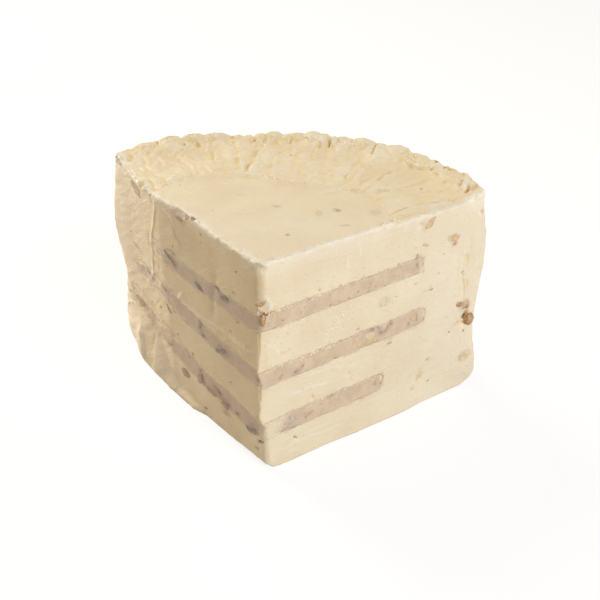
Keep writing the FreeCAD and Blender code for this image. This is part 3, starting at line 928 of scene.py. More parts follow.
# how deep under a cut face its features still move points
FACE_REACH = 2.6


def sculpt(plan, block):
    """Move every point of the block by what its faces' features ask for."""
    points = wear_edges(plan, get_points(block.data))
    surface = Surface(plan, points)
    on_rim = ramp(5.0 - surface.gap_rim, 0, 5.0)
    foot = ramp(14 - surface.gap_rim, 0, 8) * ramp(12 - surface.z, 0, 6)
    heights = top_height, right_height, left_height, rim_height
    weights = (
        ramp(surface.z, plan.height - 6.5, plan.height - 1.0),
        ramp(FACE_REACH - surface.gap_right, 0, FACE_REACH),
        ramp(FACE_REACH - surface.gap_left, 0, FACE_REACH),
        np.maximum(on_rim, foot),
    )
    moved = points.copy()
    for height, weight, way in zip(heights, weights, surface.ways_out()):
        here = np.nonzero(weight > 0)[0]
        change = height(Surface(plan, points[here])) * weight[here]
        moved[here] += way[here] * change[:, None]
    moved += warp(plan, points) - points
    moved[:, 2] = np.maximum(moved[:, 2], 0.0)
    set_points(block.data, moved)


# ---------------- layers of walnut cream

# how much the layers rise for each mm to the right, and how much each lies too low for that
LAYER_LEAN = 0.030
LAYER_LIFT = (0.4, 0.6, 0.3)
# size of a face while a layer's disc is shaped, in metres
LAYER_GRAIN = 0.0011
# how much lower the layers lie on the left cut, and how much their right ends fall short
LAYER_DIP = (0.9, 1.1, 1.1)
LAYER_SHORT = (2.0, 2.6, 1.4)
# how the layers rise towards the far left: distance to the left of the middle, rise
LAYER_BENDS = (
    ((3, 0), (15, 1.0), (22, 1.5), (32, 3.0), (39, 4.5), (47, 5.9), (53, 7.0), (59, 8.4), (66, 7.8),
     (72, 7.0)),
    ((3, 0), (14, 0.8), (22, 1.8), (30, 2.8), (36, 3.8), (42, 5.4), (50, 5.1), (56, 4.0), (61, 2.9),
     (70, 0)),
    ((24, 0), (37, 0.7), (44, 1.4), (75, 1.4)),
)
# how much thicker each is there, in the same way
LAYER_SWELLS = (
    ((24, 0), (32, 1.8), (41, 2.2), (50, 0.8), (75, 0.5)),
    ((20, 0), (30, 0.7), (38, 0.3), (44, -1.0), (75, -1.0)),
    ((30, 0), (44, -0.6), (75, -1.0)),
)


class Layer:
    """The disc of cream that a layer is cut from, a little wavy and tilted."""

    def __init__(self, plan, node, number):
        points = get_points(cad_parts[node].data)
        surface = Surface(plan, points)
        arc = points[np.minimum(surface.gap_right, surface.gap_left) > 0.5][:, :2]
        system = np.column_stack([2 * arc, np.ones(len(arc))])
        x, y, rest = np.linalg.lstsq(system, (arc**2).sum(axis=1), rcond=None)[0]
        self.centre = np.array([x, y])
        self.radius = math.sqrt(rest + x * x + y * y)
        self.low, self.high = (corner.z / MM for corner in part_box(node))
        self.number = number

    def bounds(self, points):
        """Its lower and upper heights at each point, and its reach that way."""
        flat = points * (1, 1, 0)
        lean = LAYER_LEAN * points[:, 0] + LAYER_LIFT[self.number]
        lean += follow(LAYER_BENDS[self.number], -points[:, 0])
        lean -= LAYER_DIP[self.number] * ramp(2.6 - points[:, 0], 0, 3.0)
        swell = follow(LAYER_SWELLS[self.number], -points[:, 0])
        seed = 109 + 5 * self.number
        low = self.low + lean + 0.25 * rough(flat, 11.0, seed, 2) + 0.08 * rough(flat, 2.2, seed + 2, 2)
        high = self.high + lean + swell + 0.35 * rough(flat, 9.0, seed + 3, 2)
        high += 0.22 * rough(flat, 2.0, seed + 4, 2)
        way = points[:, :2] - self.centre
        turn = np.arctan2(way[:, 1], way[:, 0]) * self.radius
        around = np.column_stack([turn, points[:, 2] * 2, np.full(len(points), self.number * 50.0)])
        reach = self.radius - LAYER_SHORT[self.number] * ramp(points[:, 0], 5, 35)
        return low, high, reach + 0.9 * rough(around, 9.0, 107, 2)

    def depth(self, points):
        """How far inside the layer points are, below zero when outside."""
        low, high, reach = self.bounds(points)
        gap = reach - np.hypot(*(points[:, :2] - self.centre).T)
        return np.minimum(np.minimum(points[:, 2] - low, high - points[:, 2]), gap)

    def disc(self):
        """A flat disc, remeshed and bent to the layer's heights and reach."""
        start_fresh()
        middle = (self.low + self.high) / 2
        bpy.ops.mesh.primitive_cylinder_add(
            vertices=180, radius=self.radius * MM, depth=(self.high - self.low) * MM,
            location=(*(self.centre * MM), middle * MM))
        disc = bpy.context.object
        place_in_mesh(disc)
        apply_modifier(disc, "REMESH", mode="VOXEL", voxel_size=LAYER_GRAIN)
        points = get_points(disc.data)
        low, high, reach = self.bounds(points)
        way = points[:, :2] - self.centre
        size = np.hypot(way[:, 0], way[:, 1]) / self.radius
        swell = 1 + (reach / self.radius - 1) * ramp(size, 0.5, 1.0)
        share = np.clip((points[:, 2] - self.low) / (self.high - self.low), 0, 1)
        points[:, :2] = self.centre + way * swell[:, None]
        points[:, 2] = low + (high - low) * share
        set_points(disc.data, points)
        return disc


def combine(piece, other, operation):
    apply_modifier(piece, "BOOLEAN", object=other, operation=operation, solver="MANIFOLD")


def count_triangles(piece):
    piece.data.calc_loop_triangles()
    return len(piece.data.loop_triangles)


def thin_out(piece, most, hidden=None):
    """Fewer triangles: first where the mesh is flat or can't be seen."""
    have = count_triangles(piece)
    if have <= most:
        return
    settings = {"ratio": most / have, "use_collapse_triangulate": True}
    if hidden is not None:
        group = piece.vertex_groups.new(name="hidden")
        group.add([int(k) for k in np.nonzero(hidden)[0]], 1.0, "REPLACE")
        settings.update(vertex_group="hidden", vertex_group_factor=2e-5)
    apply_modifier(piece, "DECIMATE", **settings)
    piece.vertex_groups.clear()


def hidden_points(plan, piece):
    """Points of the base and of the cuts' inner walls."""
    surface = Surface(plan, get_points(piece.data))
    outside = np.minimum(np.minimum(surface.gap_right, surface.gap_left), surface.gap_rim) < 1.6
    outside |= surface.z > plan.height - 4
    return ~outside | (surface.z < 0.2)


def cavity(mesh, rounds):
    """How far each point lies below its neighbours, smoothed over a few rounds."""
    points = get_points(mesh)
    normals = np.empty(len(mesh.vertices) * 3, np.float32)
    mesh.vertex_normals.foreach_get("vector", normals)
    normals = normals.reshape(-1, 3)
    edges = np.empty(len(mesh.edges) * 2, np.int32)
    mesh.edges.foreach_get("vertices", edges)
    a, b = edges.reshape(-1, 2).T
    degree = np.bincount(a, minlength=len(points)) + np.bincount(b, minlength=len(points))

    def spread(values):
        total = np.bincount(a, values[b], len(points)) + np.bincount(b, values[a], len(points))
        return total / np.maximum(degree, 1)

    middle = points
    for _ in range(rounds):
        middle = np.column_stack([spread(middle[:, k]) for k in range(3)])
    depth = np.einsum("ij,ij->i", middle - points, normals)
    return (depth + spread(depth)) / 2


def keep_values(mesh, name, values):
    """Store a value from 0 to 1 for each point, for the materials to read."""
    layer = mesh.attributes.new(name, "FLOAT", "POINT")
    layer.data.foreach_set("value", np.clip(values, 0, 1).astype(np.float32))


def dabs_round_chips(face, grow, margin, strengths):
    """A dab a little larger than each chip on a face, as strong as its kind asks for."""
    return [(u, v, grow * a + margin, grow * b + margin, turn, strengths[kind])
            for kind, rows in CHIPS.items() for side, u, v, a, b, turn in rows if side == face]


def draw_marks(uv, kind, rows, seed):
    """The strength of marks that are all strokes of one kind."""
    return draw_strokes(uv, [(kind, *row) for row in rows], seed)


def smeared_part(surface, on_left):
    """How much the left cut was smeared, more towards its far end."""
    return on_left * (0.3 + 0.7 * ramp(surface.left_uv[:, 0], 36, 66))


def paint_cheese(plan, piece, layers):
    """Values on the cheese's points: painted warm shade in its recesses and on the near left cut, pale
    that is partly torn cheese and mostly painted light, and walnut stains.
    """
    mesh = piece.data
    points = get_points(mesh)
    surface = Surface(plan, points)
    depth = cavity(mesh, 4)
    on_top = ramp(surface.z, plan.height - 7, plan.height - 3)
    on_right = ramp(1.8 - surface.gap_right, 0, 1.2)
    on_left = ramp(2.4 - surface.gap_left, 0, 1.2)
    pits = [dab for dab in TOP_DABS if dab[5] < -0.45]
    # painted warm shade: the deep pits, creases and folds of the top and the marked recesses of the
    # cuts are tinted towards yellow, standing for light glowing through the cheese
    painted_warm_shade = np.clip(-draw_dabs(points[:, :2], pits), 0, 1) * on_top
    painted_warm_shade += 0.7 * ramp(depth, 0.06, 0.26)
    painted_warm_shade *= 1 - ramp(3 - surface.gap_rim, 0, 2) * (1 - on_top)
    up = np.nonzero(on_top > 0)[0]
    _, ring, folds, dents = ring_relief(Surface(plan, points[up]))
    painted_warm_shade[up] += on_top[up] * (0.9 * dents + 0.34 * ring * ramp(-folds, 0.15, 0.6))
    left, right = np.nonzero(on_left > 0)[0], np.nonzero(on_right > 0)[0]
    painted_warm_shade[left] -= on_left[left] * draw_marks(surface.left_uv[left], "groove", LEFT_PAINTED_SHADE, 7)
    # the near part of the left cut gets the same painted shade
    painted_warm_shade += 0.3 * on_left * ramp(60 - surface.left_uv[:, 0], 0, 40) * ramp(surface.z, 20, 60)
    painted_warm_shade[right] -= on_right[right] * draw_marks(surface.right_uv[right], "groove", RIGHT_PAINTED_SHADE, 5)
    keep_values(mesh, "painted_warm_shade", painted_warm_shade)
    # pale is mostly painted light: lighter crests and fold tops on the top, the top lighter towards the
    # front, the far part of the right cut lighter, painted highlights on strands and ridges of both
    # cuts, and the far end and the foot of the left cut lighter; along the torn top edges it is partly
    # the paler torn cheese and partly painted highlight
    pale = 0.4 * ramp(-depth, 0.08, 0.30) * on_top
    pale += 0.24 * on_top * ramp(-points[:, 1], 6, 30)
    edge_top = np.maximum(ramp(3.6 - surface.gap_left, 0, 2.6),
                          0.25 * ramp(2.0 - surface.gap_right, 0, 1.4))
    edge_top *= ramp(surface.z, plan.height - 2.6, plan.height - 0.6)
    pale += 0.85 * edge_top * ramp(rough(points, 2.4, 131, 2), -0.35, 0.2)
    pale[up] += 0.3 * on_top[up] * ring * ramp(folds, 0.0, 0.6)
    pale += 0.2 * on_right * ramp(surface.right_uv[:, 0], 42, 76)
    strands = [stroke for stroke in LEFT_STROKES if stroke[0] == "ridge" and stroke[1] < 0.7]
    lines = 1.6 * draw_strokes(surface.left_uv[left], strands, 7)
    lines += draw_marks(surface.left_uv[left], "ridge", LEFT_GLINTS, 7)
    u = surface.left_uv[left, 0]
    pale[left] += on_left[left] * (np.clip(lines, 0, 1) + 0.45 * ramp(u, 60, 110)
                                   + 0.25 * ramp(u, 94, 108)
                                   + 0.45 * ramp(u, 15, 60) * ramp(24 - surface.z[left], 0, 14))
    strands = [stroke for stroke in RIGHT_STROKES if stroke[0] == "ridge"]
    lines = draw_strokes(surface.right_uv[right], strands, 5)
    pale[right] += on_right[right] * np.clip(5 * lines, 0, 0.6)
    keep_values(mesh, "pale", pale)
    wrinkled = np.zeros(len(points))
    wrinkled[up] = ramp(surface.z[up], plan.height - 3, plan.height - 1.6) * np.clip(ring, 0, 1)
    keep_values(mesh, "wrinkled", wrinkled)
    stain = np.zeros(len(points))
    faces = {"T": (points[:, :2], on_top), "R": (surface.right_uv, on_right),
             "L": (surface.left_uv, on_left)}
    for face, (uv, weight) in faces.items():
        here = np.nonzero(weight > 0)[0]
        near = points[here]
        wobble = np.column_stack([rough(near * (1, 1, 0), 3.0, 137, 2), rough(near, 3.0, 139, 2)])
        dabs = (*STAINS[face], *dabs_round_chips(face, 1.7, 0.5, HALO))
        stain[here] += draw_dabs(uv[here] + 0.8 * wobble, dabs) * weight[here]
    cut = np.nonzero(np.maximum(on_right, on_left) > 0)[0]
    for layer in layers:
        outside = -layer.depth(points[cut])
        reach = 0.8 + 1.6 * ramp(rough(points[cut], 4.0, 149, 2), 0.0, 0.6)
        reach *= 1 + 1.5 * on_left[cut] * ramp(surface.left_uv[cut, 0], 44, 70)
        stain[cut] = np.maximum(stain[cut], 0.75 * (1 - ramp(outside, 0.0, reach)))
    keep_values(mesh, "stain", stain)
    keep_values(mesh, "smear", smeared_part(surface, on_left))


# where cheese is smeared thinly over a layer, as dabs on each face
VEILS = {
    "R": (
        (2, 17, 9, 9, 0, 0.75), (7, 19.4, 6, 3, 0, 0.4), (0.5, 58, 2, 8, 0, 0.3),
        (63, 61, 3, 6, 0, 0.25), (48, 19, 4, 8, 0, 0.25), (65, 40.5, 3, 7, 0, 0.2),
    ),
    "L": (
        (60, 58, 10, 7, 0, 0.3), (78, 58, 24, 9, 0, 0.6), (94, 58, 22, 10, 0, 0.95),
        (56, 39.5, 5, 9, 0, 0.4), (72, 41, 22, 9, 0, 0.45), (86, 42.4, 16, 3, -8, 0.4),
        (102, 38, 20, 12, -10, 0.9), (84, 24, 48, 14, 0, 0.45), (60, 24, 14, 3, 0, 0.35),
        (110, 24, 14, 12, 0, 0.3), (54, 23, 8, 3, 0, 0.3), (68, 24, 8, 4, -30, 0.2),
        (2, 16.5, 4, 9, 0, 0.45), (1, 37, 3.4, 8, 0, 0.5), (1, 58, 3, 8, 0, 0.3),
        (68, 57, 4, 4, 0, 0.3), (36, 58, 20, 2, 0, 0.15), (20, 40.6, 20, 1.6, 0, 0.15),
    ),
}


def paint_cream(plan, piece, layer):
    """How thickly cheese veils the cream: at the layer's edge and where it was smeared."""
    points = get_points(piece.data)
    surface = Surface(plan, points)
    depth = layer.depth(points)
    on_right = ramp(2.0 - surface.gap_right, 0, 1.0)
    on_left = ramp(3.0 - surface.gap_left, 0, 1.0) * (1 - on_right)
    width = 0.5 + 0.8 * ramp(rough(points, 3.0, 151, 2), -0.1, 0.5)
    width *= 1 + 1.6 * on_left * ramp(surface.left_uv[:, 0], 44, 70)
    veil = 0.45 * (1 - ramp(depth, 0.0, width))
    wobble = wander(points, 4.0, (153, 155), 2)
    shade = np.zeros(len(points))
    for face, uv, weight in (("R", surface.right_uv, on_right), ("L", surface.left_uv, on_left)):
        veil += draw_dabs(uv + wobble, VEILS[face]) * weight
        shade += draw_dabs(uv + 0.8 * wobble, dabs_round_chips(face, 1.8, 1.2, SHADE)) * weight
    keep_values(piece.data, "veil", np.clip(veil, 0, 0.95))
    keep_values(piece.data, "shade", shade)
    keep_values(piece.data, "smear", smeared_part(surface, on_left))
    keep_values(piece.data, "on_left_cut", on_left)


# where walnut has coloured the cheese, as dabs on the top and on each cut
STAINS = {
    "T": (
        (1, -14.2, 5, 3, 10, 0.7), (33, -14, 5, 6, 60, 0.6), (-19, 4.6, 5, 2, 10, 0.4),
        (32.5, -6, 4, 2, 0, 0.5), (24, 6, 4.5, 2, 0, 0.7), (43, 25, 5, 2, 30, 0.5),
        (40, 8, 4, 2, 0, 0.4), (57.4, 2.8, 2, 2, 0, 0.5), (25, -25, 6, 3, 0, 0.4),
        (21, -14.3, 3.4, 2.4, 0, 0.7), (15.3, -17, 3, 4, 0, 0.6), (-13, -7, 4, 3, 0, 0.4),
        (33.5, 6.6, 5, 3, 30, 0.5), (8, -34, 2.4, 2, 0, 0.5),
    ),
    "R": (
        (47.3, 51.3, 6, 4.4, 0, 0.5), (66, 50, 5, 2, 0, 0.4), (76.5, 66, 6, 5, 0, 0.35),
        (62, 76, 5, 5, 0, 0.35), (84, 37, 7, 6, 0, 0.35), (82, 31, 5, 3, 0, 0.4),
        (87.5, 14, 8, 5, 0, 0.5), (65.8, 14.5, 4, 6, 0, 0.4), (61, 15, 4, 4, 0, 0.2),
        (68.5, 18, 4, 4, 0, 0.25), (63, 9, 4, 2, 0, 0.3), (63.5, 61.5, 2, 5, 0, 0.5),
        (61.5, 65, 4, 3, 0, 0.4), (49, 33.6, 4, 2, 0, 0.3), (4, 11, 8, 4, 0, 0.15),
        # these two darken thin lines along the upper edges of the middle and top layers, partly
        # walnut-brown crumbs and partly painted shade
        (13, 42.3, 26, 1.5, 1, 0.6), (14, 63.2, 26, 1.3, 1, 0.6),
    ),
    "L": (
        (64, 58.6, 18, 6, 0, 0.45), (76, 57.5, 16, 6, -4, 0.35), (66, 43, 14, 5, 0, 0.5),
        (80, 41.4, 14, 4, 0, 0.55), (91, 39, 12, 4, -5, 0.5), (90, 47.6, 14, 2.6, 5, 0.35),
        (46, 77.6, 10, 4, 4, 0.5), (52.6, 62.2, 6, 3, 0, 0.35), (87.5, 24.7, 16, 6, -4, 0.5),
        (98, 33, 12, 3, -30, 0.4), (70, 33, 8, 3, -10, 0.25), (24, 10.5, 8, 3, 0, 0.3),
        # the first dab on this line darkens a thin band along the foot of the left cut
        (60, 0.3, 30, 2.4, 0, 0.7), (50, 23, 14, 3, 5, 0.3), (78, 25, 24, 3, 0, 0.25),
        (104, 20, 14, 5, -15, 0.4),
    ),
}


# ---------------- finishes

# turns that lay a stretched pattern along the way in which the knife dragged each cut
LEFT_DRAG = (0.0, math.radians(30), math.radians(132))
RIGHT_DRAG = (0.0, math.radians(3), math.radians(43))

# colours of marks in the cheese and in the cream: the two shade yellows are painted shade, and the pale
# of the cheese and the crumb colour are mostly painted light
NUT_DUST = (0.70, 0.46, 0.22)
PAINTED_SHADE_YELLOW = (0.80, 0.575, 0.225)
WRINKLE_PAINTED_SHADE = (0.78, 0.58, 0.28)
PALE_TORN_AND_PAINTED_LIGHT = (0.94, 0.84, 0.66)
DRAGGED_PALE = (0.95, 0.87, 0.73)
CRUMB_PAINTED_GLINT = (0.97, 0.87, 0.68)
CREAM_FLECK = (0.44, 0.27, 0.16)
CREAM_ON_LEFT_CUT = (0.64, 0.49, 0.34)
CREAM_STREAK = (0.46, 0.34, 0.27)
CREAM_SHADE = (0.40, 0.285, 0.20)


class Finish:
    """A material built node by node on object coordinates, in millimetres."""

    def __init__(self, name):
        self.material = bpy.data.materials.new(name)
        self.material.use_nodes = True
        self.tree = self.material.node_tree
        self.shader = self.tree.nodes["Principled BSDF"]
        coordinates = self.add("TexCoord")
        scaled = self.add("Mapping", Vector=coordinates.outputs["Object"], Scale=(1 / MM,) * 3)
        self.place = scaled.outputs["Vector"]

    def fill(self, socket, item):
        """Link a node's output to a socket, or set the socket to a number or a colour."""
        if isinstance(item, bpy.types.NodeSocket):
            self.tree.links.new(item, socket)
        elif socket.type == "RGBA":
            socket.default_value = (*item, 1)
        else:
            socket.default_value = item

    def add(self, kind, settings=(), **items):
        """A node of one kind, with its settings made and its sockets filled."""
        node = self.tree.nodes.new("ShaderNode" + kind)
        for name, setting in dict(settings).items():
            setattr(node, name, setting)
        for name, item in items.items():
            self.fill(node.inputs[name.replace("_", " ")], item)
        return node

    def value(self, name):
        """A value that was painted on the piece's points."""
        return self.add("Attribute", {"attribute_name": name}).outputs["Fac"]

    def noise(self, width, detail=3.0, roughness=0.5, stretch=None, turn=(0, 0, 0)):
        """Noise between about 0.3 and 0.7, with lumps about one width wide."""
        place = self.place
        if stretch:
            mapping = self.add("Mapping", {"vector_type": "TEXTURE"}, Vector=place, Scale=stretch,
                               Rotation=turn)
            place = mapping.outputs["Vector"]
        node = self.add("TexNoise", Vector=place, Scale=1 / width, Detail=detail,
                        Roughness=roughness)
        return node.outputs["Fac"]

    def spots(self, width):
        """Distance to the nearest of many scattered points, in widths."""
        node = self.add("TexVoronoi", Vector=self.place, Scale=1 / width)
        return node.outputs["Distance"]

    def between(self, value, low, high, start=0.0, end=1.0):
        """A smooth step from start to end while the value goes from low to high."""
        node = self.add("MapRange", {"interpolation_type": "SMOOTHSTEP"}, Value=value,
                        From_Min=low, From_Max=high, To_Min=start, To_Max=end)
        return node.outputs["Result"]

    def patches(self, low, high, *noise):
        """Soft patches where noise goes from low to high."""
        return self.between(self.noise(*noise), low, high)

    def sums(self, operation, first, second=0.0):
        node = self.add("Math", {"operation": operation})
        self.fill(node.inputs[0], first)
        self.fill(node.inputs[1], second)
        return node.outputs["Value"]

    def times(self, first, second):
        return self.sums("MULTIPLY", first, second)

    def plus(self, first, second):
        return self.sums("ADD", first, second)

    def less(self, first, second):
        return self.sums("SUBTRACT", first, second)

    def mix(self, share, first, second):
        """The first colour, with a share of the second."""
        node = self.add("Mix", {"data_type": "RGBA"}, Factor=share)
        self.fill(node.inputs[6], first)
        self.fill(node.inputs[7], second)
        return node.outputs[2]

    def tint(self, colour, where, share, tinge):
        """The colour with a share of a tinge mixed in where a value asks for it."""
        return self.mix(self.times(where, share), colour, tinge)

    def bump(self, height, distance):
        """Relief too fine for the mesh, its height in millimetres."""
        node = self.add("Bump", Strength=1.0, Distance=distance * MM, Height=height)
        self.fill(self.shader.inputs["Normal"], node.outputs["Normal"])

    def set_roughness_and_colour(self, roughness, colour):
        self.fill(self.shader.inputs["Roughness"], roughness)
        self.fill(self.shader.inputs["Base Color"], colour)

    def torn(self, name):
        """A painted value with an edge that is rough where the face was smeared."""
        edge = self.between(self.noise(1.1, 3.0, 0.6), 0.3, 0.7, -0.14, 0.14)
        drag = self.noise(1.5, 4.0, 0.65, (6, 1, 1), LEFT_DRAG)
        drag = self.times(self.between(drag, 0.3, 0.7, -0.34, 0.34), self.value("smear"))
        return self.between(self.plus(self.value(name), self.plus(edge, drag)), 0.1, 0.9)


def tone(colour, factor, warm=1.0):
    """A lighter or darker colour, and a colder or warmer one."""
    r, g, b = colour
    return (r * factor, g * factor * warm, b * factor * warm * warm)


def cheese_finish():
    """Moist ivory cheese with clouds, walnut dust, pin holes and knife lines, painted warm shade in
    recesses, pin holes and wrinkles, and pale that is partly torn edges and mostly painted light.
    """
    look = Finish("soft_cheese")
    base = tuple(colours().cheese)
    clouds = look.patches(0.35, 0.65, 16.0, 3.0)
    colour = look.mix(clouds, tone(base, 0.975, 0.98), tone(base, 1.025, 1.012))
    mottle = look.patches(0.45, 0.72, 2.2, 4.0, 0.6)
    colour = look.tint(colour, mottle, 0.22, tone(base, 0.95, 0.955))
    flecks = look.between(look.spots(4.6), 0.05, 0.11, 1.0, 0.0)
    flecks = look.times(flecks, look.patches(0.53, 0.6, 7.0, 1.0))
    colour = look.tint(colour, flecks, 0.5, NUT_DUST)
    holes = look.between(look.spots(1.5), 0.08, 0.2, 1.0, 0.0)
    holes = look.times(holes, look.patches(0.50, 0.62, 6.0, 2.0))
    # pin holes and the painted warm shade both tint towards the shade yellow: painted shade
    yellow = look.sums("MAXIMUM", look.value("painted_warm_shade"), look.times(holes, 0.6))
    colour = look.tint(colour, yellow, 0.6, PAINTED_SHADE_YELLOW)
    wrinkles = look.sums("ABSOLUTE", look.less(look.noise(5.5, 2.5, 0.5), 0.5))
    wrinkles = look.between(wrinkles, 0.0, 0.075, 1.0, 0.0)
    wrinkles = look.times(wrinkles, look.patches(0.42, 0.6, 9.0, 2.0))
    wrinkles = look.times(wrinkles, look.value("wrinkled"))
    # the tint of the wrinkle valleys is painted shade
    colour = look.tint(colour, wrinkles, 0.12, WRINKLE_PAINTED_SHADE)
    colour = look.tint(colour, look.torn("stain"), 0.9, tone(tuple(colours().cream), 0.96))
    # pale: partly the paler torn cheese, mostly painted highlights and painted light
    colour = look.tint(colour, look.value("pale"), 0.85, PALE_TORN_AND_PAINTED_LIGHT)
    streaks = look.patches(0.60, 0.72, 0.7, 2.0, 0.5, (9, 1, 1), LEFT_DRAG)
    streaks = look.times(streaks, look.value("smear"))
    colour = look.tint(colour, streaks, 0.55, DRAGGED_PALE)
    sheen = look.between(look.noise(4.0, 3.0, 0.6), 0.35, 0.65, 0.38, 0.56)
    look.set_roughness_and_colour(sheen, colour)
    look.shader.inputs["Specular IOR Level"].default_value = 0.32
    grain = look.noise(0.55, 3.0, 0.6)
    creases = look.noise(2.4, 3.0, 0.55)
    relief = look.plus(grain, look.times(creases, 1.5))
    for turn in (LEFT_DRAG, RIGHT_DRAG):
        scratches = look.patches(0.56, 0.72, 0.8, 2.0, 0.5, (16, 1, 1), turn)
        relief = look.plus(relief, look.times(scratches, 0.7))
    relief = look.less(relief, look.times(holes, 2.0))
    relief = look.less(relief, look.times(wrinkles, 1.7))
    look.bump(relief, 0.07)
    return look.material


def cream_finish():
    """Pinkish beige cream, flecked with walnut, streaked and veiled with cheese."""
    look = Finish("walnut_cream")
    base = tuple(colours().cream)
    clouds = look.patches(0.35, 0.65, 6.0, 4.0, 0.6)
    colour = look.mix(clouds, tone(base, 0.94, 0.985), tone(base, 1.06, 1.0))
    flecks = look.between(look.spots(2.3), 0.08, 0.22, 1.0, 0.0)
    flecks = look.times(flecks, look.patches(0.47, 0.57, 4.0, 1.0))
    colour = look.tint(colour, flecks, 0.5, CREAM_FLECK)
    # cream on the left cut is mixed towards a darker, greyer colour
    colour = look.tint(colour, look.value("on_left_cut"), 0.9, CREAM_ON_LEFT_CUT)
    streaks = look.patches(0.42, 0.62, 2.6, 3.0, 0.6)
    colour = look.tint(colour, streaks, 0.22, CREAM_STREAK)
    colour = look.tint(colour, look.torn("shade"), 0.6, CREAM_SHADE)
    colour = look.mix(look.torn("veil"), colour, tuple(colours().cheese))
    look.set_roughness_and_colour(look.between(look.noise(4.0, 3.0, 0.6), 0.35, 0.65, 0.36, 0.55), colour)
    look.bump(look.noise(0.8, 4.0, 0.65), 0.09)
    return look.material


def crumb_finish():
    """Torn crumbs, a little wet, made paler by painted glints."""
    look = Finish("cheese_crumb")
    base = tuple(colours().cheese)
    mottle = look.patches(0.35, 0.65, 0.9, 3.0, 0.6)
    colour = look.mix(mottle, tone(base, 0.99), tone(base, 1.06, 1.05))
    colour = look.mix(look.value("pale"), colour, CRUMB_PAINTED_GLINT)
    look.set_roughness_and_colour(0.34, colour)
    look.bump(look.noise(0.4, 3.0, 0.6), 0.05)
    return look.material


def walnut_finish(name, flesh, skin, veil):
    """Chopped walnut: mottled flesh, a darker skin at its rim and a veil of cheese over it."""
    look = Finish(name)
    mottle = look.patches(0.35, 0.65, 0.9, 4.0, 0.65)
    colour = look.mix(mottle, tone(flesh, 0.86, 0.96), tone(flesh, 1.08))
    colour = look.mix(look.value("rim"), colour, skin)
    cheese = tone(tuple(colours().cheese), 0.97)
    smeared = look.patches(0.35, 0.6, 1.5, 3.0)
    colour = look.tint(colour, smeared, veil, cheese)
    look.set_roughness_and_colour(0.45, colour)
    look.bump(look.noise(0.5, 3.0, 0.6), 0.12)
    return look.material


# ---------------- walnut chips and crumbs

